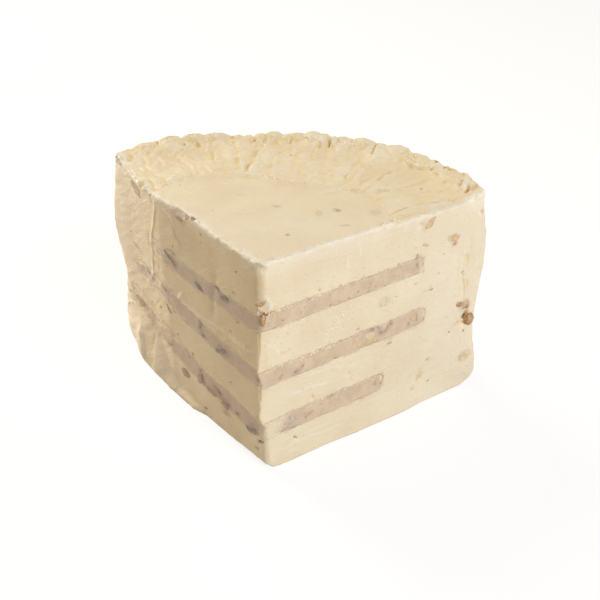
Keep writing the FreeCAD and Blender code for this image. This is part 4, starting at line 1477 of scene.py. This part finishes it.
# kind: face, u, v, length, breadth, turn in degrees
CHIPS = {
    "tan": (
        ("R", 65, 76.2, 5, 2.7, 52), ("R", 63.6, 68.3, 3, 1.1, -20), ("R", 77, 67, 3.2, 3, 20),
        ("R", 60.8, 40.6, 2.4, 3, 70), ("R", 41.5, 37.9, 3.4, 1.8, 15),
        ("R", 44, 37.3, 1.6, 1.4, 0), ("R", 38, 37.6, 2.4, 1.2, 0), ("R", 13.4, 38.6, 2.6, 1.6, 30),
        ("R", 86, 37.8, 2.4, 2.4, 30), ("R", 35.5, 39.8, 1.4, 2, 0), ("T", 64.8, 8, 2, 3.2, -30),
        ("R", 87.2, 14.6, 3.6, 2, 0), ("L", 67.4, 76.4, 2.8, 1.1, 20),
        ("R", 69.3, 19.6, 1.4, 1.2, 0), ("R", 1.4, 58.6, 2, 1, 20), ("R", 34.4, 62.8, 1.6, 1, 0),
        ("R", 3.6, 63.2, 0.9, 1.5, 15), ("R", 85.4, 38.6, 1.8, 3, -40),
        ("R", 5, 61.4, 2.6, 1.4, -30), ("R", 12.6, 61.6, 1.6, 0.7, 0),
        ("R", 8.6, 61.8, 1.2, 0.6, 10),
    ),
    "toasted": (
        ("L", 84.6, 74.2, 11.6, 4.9, 2), ("L", 51.4, 11.7, 5.2, 4.6, -10),
        ("L", 40.2, 15.4, 5, 3.6, -50), ("L", 90.2, 23, 11, 3.4, -4), ("L", 80, 41.7, 6, 2.2, 0),
        ("L", 62.4, 43.2, 5, 2.4, 5), ("L", 62.4, 18.6, 5, 1.6, -14), ("L", 81.6, 72.8, 4, 1.8, 10),
        ("L", 24.2, 13.2, 4.4, 2.8, 10), ("L", 33, 14.2, 6.6, 2, 8), ("L", 46, 77.4, 4.6, 1.7, 5),
        ("L", 42, 79.6, 3.4, 1.6, 0), ("L", 37.6, 41, 2.6, 1.8, 0), ("L", 60.4, 35.2, 4.8, 1.6, 22),
        ("L", 29, 16.8, 4.4, 1.4, 25), ("L", 38.4, 80.2, 2.4, 1.2, 0),
    ),
    "smeared": (
        ("L", 90, 39.2, 9, 1.9, -5), ("R", 9.8, 17.6, 4.4, 4, 20), ("L", 92, 47.4, 7, 1.2, 4),
        ("L", 66, 56.8, 3, 1, -20), ("L", 54.6, 62.2, 4.2, 1.2, 0), ("L", 47.8, 21, 2.4, 1.2, 0),
        ("L", 104, 21, 7, 1.6, -20), ("L", 24, 10.6, 3.2, 1.4, 0), ("L", 41, 19, 2.2, 1.2, 20),
    ),
    "pale": (
        ("R", 47.4, 51.4, 4.4, 3.2, 20), ("R", 87.4, 14, 5.4, 3.2, 10),
        ("R", 65.8, 13.8, 2.2, 4.2, -20), ("R", 82, 31, 3, 1.4, 30),
        ("T", 15.2, -17, 2.6, 1.6, -50), ("R", 62.6, 9.2, 1.8, 1.2, 0), ("R", 42, 40, 3.6, 3, 0),
        ("T", 24.5, -24.5, 2.6, 1, 10), ("R", 61, 54.4, 1.4, 0.8, 0), ("R", 74.6, 67.6, 1.4, 2, 0),
        ("T", 33.4, 6.8, 3, 1.4, 20), ("T", 35.6, 8.2, 1.6, 1, 0), ("T", 0.6, -14.4, 1.6, 1, 0),
    ),
    "plum": (
        ("R", 68.1, 49.6, 1.6, 0.8, 10), ("R", 50.8, 33.8, 1.8, 0.7, 10),
        ("R", 45, 18.9, 1, 1.9, -5), ("R", 46.6, 39.8, 1.4, 1.4, 20),
        ("R", 49.2, 41, 0.6, 2.8, -24), ("R", 14.9, 38.4, 0.8, 1.3, -20),
        ("R", 45.4, 42.2, 2.4, 0.6, -50), ("R", 11, 14.4, 2.2, 0.8, -25),
        ("R", 7, 14.8, 2.2, 0.7, 10), ("R", 62.2, 40, 0.5, 3, 8), ("R", 58.8, 38.6, 0.8, 1.6, 0),
        ("R", 12.2, 37.2, 1.8, 0.8, 10), ("R", 50.9, 41.9, 1.3, 1.4, 0),
        ("R", 42.8, 42.4, 2, 1.3, -30), ("R", 48, 39.4, 1.6, 0.6, 30), ("R", 26, 21.2, 3, 0.7, 8),
        ("R", 60.9, 61.4, 0.6, 3, 12),
    ),
    "brown": (
        ("R", 77.1, 64.9, 1.8, 1.3, 10), ("R", 60.5, 65, 0.9, 1.9, 5),
        ("R", 83, 38.3, 2.8, 2.2, -20), ("R", 84.6, 36.8, 1.6, 2.4, 0),
        ("R", 11.8, 9.6, 1.9, 0.7, -35), ("R", 78.7, 28, 1.1, 1, 0), ("T", 21, -14.3, 1.9, 1.3, 0),
        ("T", -3.1, 31.8, 0.7, 1.4, 10), ("R", 36.4, 59.3, 1, 0.9, 0),
        ("R", 25.5, 57.9, 1.2, 0.9, 30), ("R", 32.7, 58.1, 0.8, 0.6, 0),
        ("R", 41.5, 60.6, 0.6, 0.5, 0), ("R", 6.7, 37.3, 2.4, 1.4, 25), ("R", 28, 36.4, 1.5, 1, 0),
        ("R", 44.4, 36.8, 1.6, 0.6, 10), ("R", 47.4, 17.8, 0.8, 0.7, 0),
        ("R", 22.4, 19.2, 0.6, 0.5, 0), ("R", 18.2, 17.6, 1.6, 1, 30),
        ("R", 16.2, 16.6, 1.2, 1.2, 0), ("R", 14.4, 59.3, 0.9, 0.6, 0),
        ("R", 7.6, 58.6, 0.6, 0.5, 0), ("R", 4.6, 56.8, 0.9, 0.6, 0),
        ("R", 28.6, 58.4, 0.5, 0.5, 0), ("R", 43.6, 58.9, 0.6, 0.5, 0),
        ("R", 17.4, 63.2, 1.2, 0.6, 0), ("R", 36.9, 44.5, 1.5, 0.6, 0),
        ("R", 52.6, 51.9, 0.5, 0.6, 0), ("R", 82.1, 52.1, 0.7, 0.8, 0),
        ("R", 72.3, 62.3, 0.8, 0.4, 20), ("R", 70.9, 55.2, 0.8, 0.4, 0),
        ("R", 70.3, 9.3, 1.2, 0.9, 0), ("T", 8, -33.8, 1.1, 0.9, 0), ("T", 46.8, 11, 0.8, 1.2, 0),
        ("R", 40.6, 58, 1.2, 0.5, 10), ("L", 12.6, 72.6, 1.8, 0.9, -35), ("L", 33, 77, 1.4, 0.8, 0),
        ("L", 51.8, 62, 1.6, 0.9, 0), ("L", 13.2, 53.8, 1.4, 0.7, 0), ("L", 20, 26, 1.2, 0.7, -30),
        ("L", 44.2, 24.2, 1.8, 1.2, 20), ("L", 24, 10.4, 2.4, 1.2, 0),
        ("L", 40, 19.6, 1.8, 0.8, 30), ("L", 52, 64.8, 0.9, 1.2, 0), ("L", 15, 64, 1.6, 0.6, -10),
        ("L", 18, 48, 1.8, 0.8, 0), ("L", 5.6, 7, 1.8, 0.9, 20), ("L", 96, 51.6, 2, 0.9, 0),
        ("L", 79, 28.4, 2, 0.8, -20), ("L", 88.6, 63.4, 1.6, 1, 0), ("L", 55, 27, 1.6, 0.9, 0),
        ("L", 69, 31.6, 2.6, 1, -10), ("L", 33.6, 74, 0.7, 0.6, 0),
    ),
    "dark": (
        ("L", 9.6, 12.3, 4.2, 2.5, -22), ("L", 6.4, 13.6, 3.4, 2.5, -50),
        ("L", 36, 56.3, 4.4, 1.7, 24), ("L", 24.6, 61, 3.4, 1.1, 10),
        ("L", 19.8, 59.7, 3.6, 1.7, -8), ("L", 55.2, 59.3, 6.4, 1.7, 24),
        ("L", 23.4, 37, 4, 2.2, -14), ("L", 26.4, 35.6, 3.2, 1.3, -28),
        ("L", 37.8, 39.2, 1.6, 0.9, -40), ("L", 36.2, 36.6, 2.4, 1.1, -14),
        ("L", 38.2, 3, 1.8, 1, -15), ("L", 2.6, 37.3, 1.2, 1.1, 0), ("L", 2.9, 11.2, 3.6, 0.9, -32),
        ("L", 27.6, 17, 2.6, 0.9, 40), ("L", 22.8, 14.4, 2.6, 1.1, 5),
        ("L", 38.4, 16.8, 0.7, 3.6, -10), ("L", 31.8, 14, 2.2, 1.3, 20),
        ("L", 17, 14.4, 1.8, 1, -30), ("L", 21.6, 58.9, 2.2, 0.9, 10),
        ("L", 65.6, 50.6, 2, 0.9, 15), ("L", 52.4, 58, 2.2, 0.9, 30),
        ("R", 85.9, 31.6, 3, 0.9, -75),
    ),
    "grey": (
        ("T", -48.6, -2.4, 3.4, 1.5, -50), ("T", -45.4, -6.8, 3.6, 1.6, -52),
    ),
}

# how strongly each kind darkens the cream round it
SHADE = {"dark": 0.75, "toasted": 0.45, "plum": 0.4, "brown": 0.3, "smeared": 0.3, "tan": 0.15,
         "pale": 0.15, "grey": 0.15}

# how strongly each kind tints the cheese round it
HALO = {"tan": 0.3, "toasted": 0.35, "smeared": 0.5, "pale": 0.25, "brown": 0.3, "plum": 0.45,
        "dark": 0.5, "grey": 0.3}

# colours of each kind: its flesh, its skin, and how much cheese veils it
CHIP_TONES = {
    "tan": ((0.69, 0.475, 0.24), (0.56, 0.35, 0.17), 0.2),
    "toasted": ((0.47, 0.315, 0.18), (0.29, 0.185, 0.11), 0.12),
    "smeared": ((0.56, 0.425, 0.30), (0.49, 0.365, 0.25), 0.35),
    "pale": ((0.79, 0.60, 0.33), (0.75, 0.545, 0.28), 0.5),
    "brown": ((0.55, 0.33, 0.155), (0.42, 0.23, 0.10), 0.25),
    "plum": ((0.47, 0.30, 0.22), (0.33, 0.195, 0.14), 0.2),
    "dark": ((0.24, 0.165, 0.11), (0.13, 0.085, 0.06), 0.2),
    "grey": ((0.70, 0.67, 0.54), (0.55, 0.50, 0.38), 0.35),
}

KERNEL_TONES = ((0.66, 0.40, 0.18), (0.36, 0.19, 0.08), 0.1)

# whole pieces that stand out of the surface: face, u, v, size in mm, how deep the middle lies
NUTS = (
    ("R", 88.3, 30.2, (4.6, 6.0, 4.2), 0.95), ("R", 86.4, 36.8, (2.8, 3.4, 2.2), 0.65),
    ("R", 83.0, 38.2, (3.4, 2.2, 2.0), 0.55), ("R", 85.8, 26.0, (0.9, 1.3, 0.9), 0.2),
    ("R", 1.4, 65.6, (3.6, 2.4, 2.2), 0.75), ("R", 1.0, 60.6, (2.6, 4.2, 2.0), 0.7),
    ("L", 0.9, 62.6, (2.4, 2.0, 1.8), 0.7),
)


def face_place(plan, face, u, v):
    """A point on a flat face and the face's own directions: along, up and out."""
    if face == "T":
        return np.array([u, v, plan.height]), np.eye(3)
    if face == "R":
        spot, way, out = plan.point + plan.right_way * u, plan.right_way, plan.right_normal
    elif u <= plan.bend_distance:
        spot, way, out = plan.point + plan.left_way * u, plan.left_way, plan.left_normal
    else:
        spot = plan.bend + plan.far_way * (u - plan.bend_distance)
        way, out = plan.far_way, plan.far_normal
    axes = np.array([[*way, 0.0], [0.0, 0.0, 1.0], [*out, 0.0]])
    return np.array([*spot, v]), axes


def chip_outline(angles, random, more=0):
    """How far a chopped bit reaches each way: a rough polygon with blunt corners."""
    sides = random.integers(5, 8) + more
    facing = np.sort(random.uniform(0, 2 * np.pi, sides))
    facing = 0.5 * facing + 0.5 * np.linspace(0, 2 * np.pi, sides, endpoint=False)
    distance = random.uniform(0.78, 1.0, sides)
    spread = np.cos(angles[:, None] - facing)
    reach = np.where(spread > 0.15, distance / np.maximum(spread, 0.15), 9.0).min(axis=1)
    return np.minimum(reach, 1.18)


# how far outside the wedge a ray starts that finds its surface
CAST_FROM = 12


def cast_height(tree, place, axes):
    """How far the real surface lies outside the flat face at a place."""
    start = place + axes[2] * CAST_FROM
    hit = tree.ray_cast(Vector(start * MM), Vector(-axes[2]))
    return CAST_FROM - hit[3] / MM if hit[0] is not None else 0.0


def add_chips(plan, tree, kind, rows, seed):
    """Chips of one kind: lens-shaped bits whose tops follow the surface they are cut with."""
    random = np.random.default_rng(seed)
    pieces = []
    for face, u, v, length, breadth, turn in rows:
        chip = ball(4 if max(length, breadth) > 3 else 3)
        local = get_points(chip.data)
        angles = np.arctan2(local[:, 1], local[:, 0])
        flat_size = np.hypot(local[:, 0], local[:, 1])
        offset = random.uniform(0, 900, 3)
        outline = chip_outline(angles, random, 3 + int(length) if kind == "toasted" else 0)
        outline = 1.2 * outline * (1 + 0.22 * rough(local * 0.6 + offset, 0.6, 151, 2))
        c, s = math.cos(math.radians(turn)), math.sin(math.radians(turn))
        a = local[:, 0] * outline * length / 2
        b = local[:, 1] * outline * breadth / 2
        across = np.column_stack([a * c - b * s, a * s + b * c])
        place, axes = face_place(plan, face, u, v)
        spots = place + across @ axes[:2]
        thick = 0.35 * breadth + 0.3
        level = cast_height(tree, place, axes)
        found = np.array([cast_height(tree, spot, axes) for spot in spots])
        found = np.where(np.abs(found - level) < 1.5, found, level)
        out = found + 0.09 - 0.34 * ramp(flat_size, 0.80, 1.0) + np.minimum(local[:, 2], 0) * thick
        rim = ramp(flat_size, 0.62, 0.92)
        rim *= ramp(rough(local * 1.1 + offset, 0.7, 157, 2), -0.35, 0.35)
        set_points(chip.data, spots + out[:, None] * axes[2])
        keep_values(chip.data, "rim", rim)
        pieces.append(chip)
    return join_as(pieces, "walnut_chips_" + kind)


def join_as(pieces, name):
    """Join small closed shapes into one named piece."""
    whole = join(pieces)
    call(whole, name)
    face_outwards(whole)
    return whole


def add_nuts(plan, tree):
    """Walnut pieces that stand out of the cheese, with the folds of the kernel."""
    pieces = []
    for number, (face, u, v, size, depth) in enumerate(NUTS):
        nut = ball(5)
        local = get_points(nut.data)
        offset = number * 31.0
        folds = billow(local + offset, 0.9, 167, 2)
        swell = 1 + 0.12 * rough(local + offset, 1.3, 163, 2) + 0.09 * folds
        shaped = local * swell[:, None] * (np.array(size) / 2)
        place, axes = face_place(plan, face, u, v)
        height = cast_height(tree, place, axes)
        set_points(nut.data, place + (shaped + (0, 0, height - depth)) @ axes)
        valley = ramp(-folds, 0.05, 0.5)
        keep_values(nut.data, "rim", valley + 0.35)
        pieces.append(nut)
    return join_as(pieces, "walnut_pieces")


# where crumbs of cheese cling: face, path, spread across, how many, smallest and largest size
CRUMB_LINES = (
    ("L", ((60, 81.3), (50, 81.1), (38, 81), (28, 81.1)), 0.6, 110, 0.35, 1),
    ("L", ((28, 81.1), (14, 81.2), (3, 81.2)), 0.5, 40, 0.3, 0.8),
    ("L", ((100, 81.4), (85, 81.3), (66, 81.2)), 0.6, 60, 0.4, 1),
    ("R", ((0.5, 80), (4, 80.2), (9, 80.3)), 0.8, 16, 0.3, 0.9),
    ("R", ((44, 80.6), (56, 80.6), (64, 80.6)), 0.8, 20, 0.3, 0.8),
    ("R", ((2, 62.8), (14, 62.8), (26, 63.3)), 0.5, 60, 0.25, 0.6),
    ("R", ((26, 63.5), (44, 64), (60, 64.3)), 0.4, 40, 0.2, 0.5),
    ("R", ((1, 41.6), (12, 41.8), (26, 42)), 0.6, 80, 0.25, 0.65),
    ("R", ((26, 42.2), (44, 43.4), (60, 44)), 0.5, 34, 0.25, 0.5),
    ("R", ((8, 20.6), (26, 21.8), (46, 22.6)), 0.4, 26, 0.2, 0.5),
    ("T", ((-35.8, 17), (-34, 13.5)), 0.7, 14, 0.4, 0.9),
    ("T", ((-13.5, 25), (-14, 18), (-15, 13)), 1.2, 60, 0.25, 0.6),
    ("T", ((-22, 34), (-20.5, 26), (-18.5, 18)), 0.9, 34, 0.25, 0.6),
    ("T", ((-34, 39), (-45, 38), (-58, 28)), 2.6, 60, 0.3, 0.9),
    ("T", ((38, 32), (43, 29), (47, 27)), 2, 46, 0.3, 0.9),
    ("T", ((12, 44), (15, 45)), 1.6, 30, 0.4, 1.2),
    ("T", ((-54, 9), (-49, 3), (-43, -6)), 0.7, 30, 0.3, 0.8),
    ("T", ((33, 7), (36, 9)), 0.8, 16, 0.3, 0.6),
    ("T", ((60, 14), (62, 8), (60, 3)), 1.2, 16, 0.3, 0.8),
    ("T", ((-18, 2), (-24, -1), (-28, -4)), 0.8, 22, 0.2, 0.45),
    ("T", ((5, -30), (14, -22), (22, -30)), 5, 40, 0.2, 0.4),
    ("T", ((-30, -12), (-6, -12), (10, -8)), 7, 40, 0.18, 0.34),
    ("T", ((-50, 28), (-20, 26), (10, 28)), 9, 80, 0.2, 0.45),
    ("L", ((4, 30), (30, 28), (50, 30)), 9, 40, 0.18, 0.4),
    ("R", ((32, 52), (25, 46)), 2.8, 80, 0.3, 0.9),
    ("R", ((1.5, 66), (3, 61)), 1.2, 14, 0.4, 0.9),
    ("R", ((84, 60), (85, 38)), 1.6, 30, 0.25, 0.6),
)


def add_crumbs(plan, tree):
    """Small crumbs of cheese pressed into the surface along torn and dragged lines."""
    random = np.random.default_rng(29)
    pieces, glint_shares = [], []
    pattern = ball(2)
    local = get_points(pattern.data)
    for face, path, spread, count, smallest, largest in CRUMB_LINES:
        curve = curve_through(path)
        for _ in range(count):
            u, v = curve[random.integers(len(curve))] + random.normal(0, spread / 1.6, 2)
            size = smallest + (largest - smallest) * random.random()**2.2
            place, axes = face_place(plan, face, u, v)
            dents = rough(local * 0.8 + random.uniform(0, 900, 3), 0.8, 173, 1)
            shape = local * (1 + 0.5 * dents[:, None])
            turn = Matrix.Rotation(random.uniform(0, 6.3), 3, random.normal(0, 1, 3))
            shape = shape @ np.array(turn) * size / 2 * (1.2, 1.0, 0.45 if face == "T" else 0.75)
            height = cast_height(tree, place, axes) + size * random.uniform(-0.22, 0.05)
            pieces.append(place + (shape + (0, 0, height)) @ axes)
            # the share of pale in each crumb is a painted glint, stronger off the right cut
            glint_shares.append(0.2 + 0.75 * (face != "R") * random.random())
    faces = np.array([polygon.vertices[:] for polygon in pattern.data.polygons])
    points = np.vstack(pieces)
    every = np.vstack([faces + k * len(local) for k in range(len(pieces))])
    mesh = bpy.data.meshes.new("cheese_crumbs")
    mesh.from_pydata((points * MM).tolist(), [], every.tolist())
    keep_values(mesh, "pale", np.repeat(glint_shares, len(local)))
    bpy.data.objects.remove(pattern)
    crumbs = bpy.data.objects.new("cheese_crumbs", mesh)
    bpy.context.scene.collection.objects.link(crumbs)
    face_outwards(crumbs)
    return crumbs


def face_outwards(piece):
    """Turn all faces of closed shapes outwards."""
    only(piece)
    bpy.ops.object.mode_set(mode="EDIT")
    bpy.ops.mesh.select_all(action="SELECT")
    bpy.ops.mesh.normals_make_consistent(inside=False)
    bpy.ops.object.mode_set(mode="OBJECT")


# ---------------- operators

WEDGE = "cheese_wedge"
# the most triangles that the wedge and each layer keep
TRIANGLES_WEDGE = 196000
TRIANGLES_LAYER = 60000


def finish_piece(piece, material, slot, *nodes):
    """Give a piece its material, smooth shading, body and the nodes that it replaces; its slot is not
    used.
    """
    piece.data.materials.clear()
    piece.data.materials.append(material)
    only(piece)
    bpy.ops.object.shade_smooth()
    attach(piece, "root")
    if nodes:
        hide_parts(*nodes)


class CHEESE_OT_body(bpy.types.Operator):
    """Sculpt the wedge of cheese and cut its walnut layers out of it"""
    bl_idname = "cheese.body"
    bl_label = "Cheese and layers"

    def execute(self, context):
        plan = Plan()
        block = block_out(plan)
        sculpt(plan, block)
        shapes = [Layer(plan, node, number) for number, node in enumerate(LAYERS)]
        discs = [shape.disc() for shape in shapes]
        layers = []
        for node, disc in zip(LAYERS, discs):
            only(block)
            bpy.ops.object.duplicate()
            layer = bpy.context.object
            combine(layer, disc, "INTERSECT")
            call(layer, node + "_cream")
            layers.append(layer)
        for disc in discs:
            combine(block, disc, "DIFFERENCE")
            bpy.data.objects.remove(disc)
        call(block, WEDGE)
        # the first pass spares what shows, and can stop before it gets to the limit
        thin_out(block, TRIANGLES_WEDGE, hidden_points(plan, block))
        thin_out(block, TRIANGLES_WEDGE)
        for layer in layers:
            thin_out(layer, TRIANGLES_LAYER)
        paint_cheese(plan, block, shapes)
        for shape, layer in zip(shapes, layers):
            paint_cream(plan, layer, shape)
        finish_piece(block, cheese_finish(), "cheese", "cheese")
        cream = cream_finish()
        for node, layer in zip(LAYERS, layers):
            finish_piece(layer, cream, "walnut_cream", node)
        return {"FINISHED"}


def surface_tree():
    """The outer surface of the wedge and its layers, to lay bits on."""
    points, faces = [], []
    names = [WEDGE] + [node + "_cream" for node in LAYERS]
    for name in names:
        mesh = bpy.data.objects[name].data
        first = len(points)
        points.extend(vert.co.copy() for vert in mesh.vertices)
        faces.extend([first + k for k in polygon.vertices] for polygon in mesh.polygons)
    return BVHTree.FromPolygons(points, faces)


class CHEESE_OT_chips(bpy.types.Operator):
    """Set chopped walnut into the cheese and its layers"""
    bl_idname = "cheese.chips"
    bl_label = "Walnut chips"

    def execute(self, context):
        plan = Plan()
        tree = surface_tree()
        for seed, (kind, rows) in enumerate(CHIPS.items()):
            chips = add_chips(plan, tree, kind, rows, seed + 3)
            finish_piece(chips, walnut_finish("walnut_" + kind, *CHIP_TONES[kind]), "walnut")
        nuts = add_nuts(plan, tree)
        finish_piece(nuts, walnut_finish("walnut_kernel", *KERNEL_TONES), "walnut")
        return {"FINISHED"}


class CHEESE_OT_crumbs(bpy.types.Operator):
    """Press small crumbs of cheese into the torn lines"""
    bl_idname = "cheese.crumbs"
    bl_label = "Crumbs"

    def execute(self, context):
        plan = Plan()
        crumbs = add_crumbs(plan, surface_tree())
        finish_piece(crumbs, crumb_finish(), "cheese")
        return {"FINISHED"}


class CHEESE_PT_panel(bpy.types.Panel):
    """Lists the steps that build the wedge"""
    bl_label = "Walnut cheese"
    bl_idname = "CHEESE_PT_panel"
    bl_space_type = "VIEW_3D"
    bl_region_type = "UI"
    bl_category = "Walnut cheese"

    def draw(self, context):
        for group in (context.scene.cheese_sizes, context.scene.cheese_colours):
            for name in group.bl_rna.properties.keys():
                if name not in ("rna_type", "name"):
                    self.layout.prop(group, name)
        for operator in OPERATORS:
            self.layout.operator(operator.bl_idname)


# lamps: name, place, what they point at, width, power, colour
LAMPS = (
    ("key", (0.75, -0.62, 0.62), (0, 0, 0.04), 0.5, 8.7, (1.0, 1.10, 1.33)),
    ("back", (-0.60, 0.50, 0.70), (0, 0, 0.04), 0.5, 6.6, (1.0, 0.92, 0.76)),
    ("left", (-0.34, 0.16, 0.05), (-0.04, -0.01, 0.02), 0.16, 0.68, (1.0, 0.92, 0.80)),
)
ROOM_COLOUR, ROOM_STRENGTH = (1.0, 0.89, 0.77, 1), 0.16

# the camera: its place in mm from the wedge's point and above the floor, its heading, how far
# it looks down and its roll in degrees, and its lens in mm
CAMERA_PLACE = (48.4, -206.3, 199.2)
CAMERA_TURNS = (100.02, 31.71, -0.41)
CAMERA_LENS, CAMERA_SENSOR = 50.3, 36

FLOOR_SIZE = 6.0
# how much of the floor shows as plain white, and how bright, to rays that see it directly
FLOOR_GLOW_SHARE, FLOOR_GLOW = 0.70, 1.2


def add_lamp(name, place, target, size, power, colour):
    data = bpy.data.lights.new(name, "AREA")
    data.shape = "RECTANGLE"
    data.size = data.size_y = size
    data.energy = power
    data.color = colour
    lamp = bpy.data.objects.new(name, data)
    bpy.context.scene.collection.objects.link(lamp)
    lamp.visible_camera = False
    lamp.location = place
    lamp.rotation_euler = (Vector(target) - Vector(place)).to_track_quat("-Z", "Y").to_euler()


class CHEESE_OT_stage(bpy.types.Operator):
    """Lay the floor and set up the world, the lamps and the camera"""
    bl_idname = "cheese.stage"
    bl_label = "Stage"

    def execute(self, context):
        scene = context.scene
        scene.view_settings.view_transform = "Standard"
        start_fresh()
        bpy.ops.mesh.primitive_plane_add(size=FLOOR_SIZE, location=(0, 0, 0))
        floor = context.object
        floor.name = "floor"
        place_in_mesh(floor)
        floor.data.materials.append(floor_finish())
        world = bpy.data.worlds.new("room")
        scene.world = world
        world.use_nodes = True
        self.set_world(world)
        for lamp in LAMPS:
            add_lamp(*lamp)
        self.set_camera(scene)
        return {"FINISHED"}

    def set_world(self, world):
        """A plain room that lights softly and is white behind the object."""
        tree = world.node_tree
        room = tree.nodes["Background"]
        room.inputs["Color"].default_value = ROOM_COLOUR
        room.inputs["Strength"].default_value = ROOM_STRENGTH
        white = tree.nodes.new("ShaderNodeBackground")
        white.inputs["Color"].default_value = (1, 1, 1, 1)
        white.inputs["Strength"].default_value = 1.0
        show_instead(tree, room.outputs["Background"], white.outputs["Background"], 1.0,
                     tree.nodes["World Output"])

    def set_camera(self, scene):
        plan = Plan()
        data = bpy.data.cameras.new("camera")
        data.lens = CAMERA_LENS
        data.sensor_width = CAMERA_SENSOR
        data.clip_start = 0.01
        camera = bpy.data.objects.new("camera", data)
        scene.collection.objects.link(camera)
        turn, dip, roll = (math.radians(angle) for angle in CAMERA_TURNS)
        forward = Vector((math.cos(turn) * math.cos(dip), math.sin(turn) * math.cos(dip),
                          -math.sin(dip)))
        right = Vector((math.sin(turn), -math.cos(turn), 0))
        up = right.cross(forward)
        tilted_right = right * math.cos(roll) + up * math.sin(roll)
        tilted_up = up * math.cos(roll) - right * math.sin(roll)
        place = (Vector((*plan.point, 0)) + Vector(CAMERA_PLACE)) * MM
        rows = zip(tilted_right, tilted_up, -forward, place)
        camera.matrix_world = Matrix([list(row) for row in rows] + [[0, 0, 0, 1]])
        scene.camera = camera


def seen_ray(tree):
    """1 for rays that show the background: straight, mirrored or seen through glass."""
    path = tree.nodes.new("ShaderNodeLightPath")
    seen = path.outputs["Is Camera Ray"]
    for name in ("Is Glossy Ray", "Is Transmission Ray"):
        either = tree.nodes.new("ShaderNodeMath")
        either.operation = "MAXIMUM"
        tree.links.new(seen, either.inputs[0])
        tree.links.new(path.outputs[name], either.inputs[1])
        seen = either.outputs["Value"]
    return seen


def show_instead(tree, lit, shown, share, output):
    """Mix a share of another shader in, for rays that show the background."""
    part = tree.nodes.new("ShaderNodeMath")
    part.operation = "MULTIPLY"
    part.inputs[1].default_value = share
    mix = tree.nodes.new("ShaderNodeMixShader")
    tree.links.new(seen_ray(tree), part.inputs[0])
    tree.links.new(part.outputs["Value"], mix.inputs["Fac"])
    tree.links.new(lit, mix.inputs[1])
    tree.links.new(shown, mix.inputs[2])
    tree.links.new(mix.outputs["Shader"], output.inputs["Surface"])


def floor_finish():
    """A plain pale floor that looks white and keeps the wedge's shadow."""
    material = bpy.data.materials.new("floor")
    material.use_nodes = True
    tree = material.node_tree
    shader = tree.nodes["Principled BSDF"]
    shader.inputs["Base Color"].default_value = (*colours().floor, 1)
    shader.inputs["Roughness"].default_value = 0.9
    shader.inputs["Specular IOR Level"].default_value = 0.1
    glow = tree.nodes.new("ShaderNodeEmission")
    glow.inputs["Strength"].default_value = FLOOR_GLOW
    show_instead(tree, shader.outputs["BSDF"], glow.outputs["Emission"], FLOOR_GLOW_SHARE,
                 tree.nodes["Material Output"])
    return material


OPERATORS = (CHEESE_OT_body, CHEESE_OT_chips, CHEESE_OT_crumbs, CHEESE_OT_stage)
CLASSES = (CheeseSizes, CheeseColours, CHEESE_PT_panel) + OPERATORS


def register():
    for item in CLASSES:
        bpy.utils.register_class(item)
    bpy.types.Scene.cheese_sizes = PointerProperty(type=CheeseSizes)
    bpy.types.Scene.cheese_colours = PointerProperty(type=CheeseColours)


def unregister():
    del bpy.types.Scene.cheese_colours
    del bpy.types.Scene.cheese_sizes
    for item in reversed(CLASSES):
        bpy.utils.unregister_class(item)


def main():
    register()
    bpy.ops.cheese.body()
    bpy.ops.cheese.chips()
    bpy.ops.cheese.crumbs()
    bpy.ops.cheese.stage()


if __name__ == "__main__":
    main()
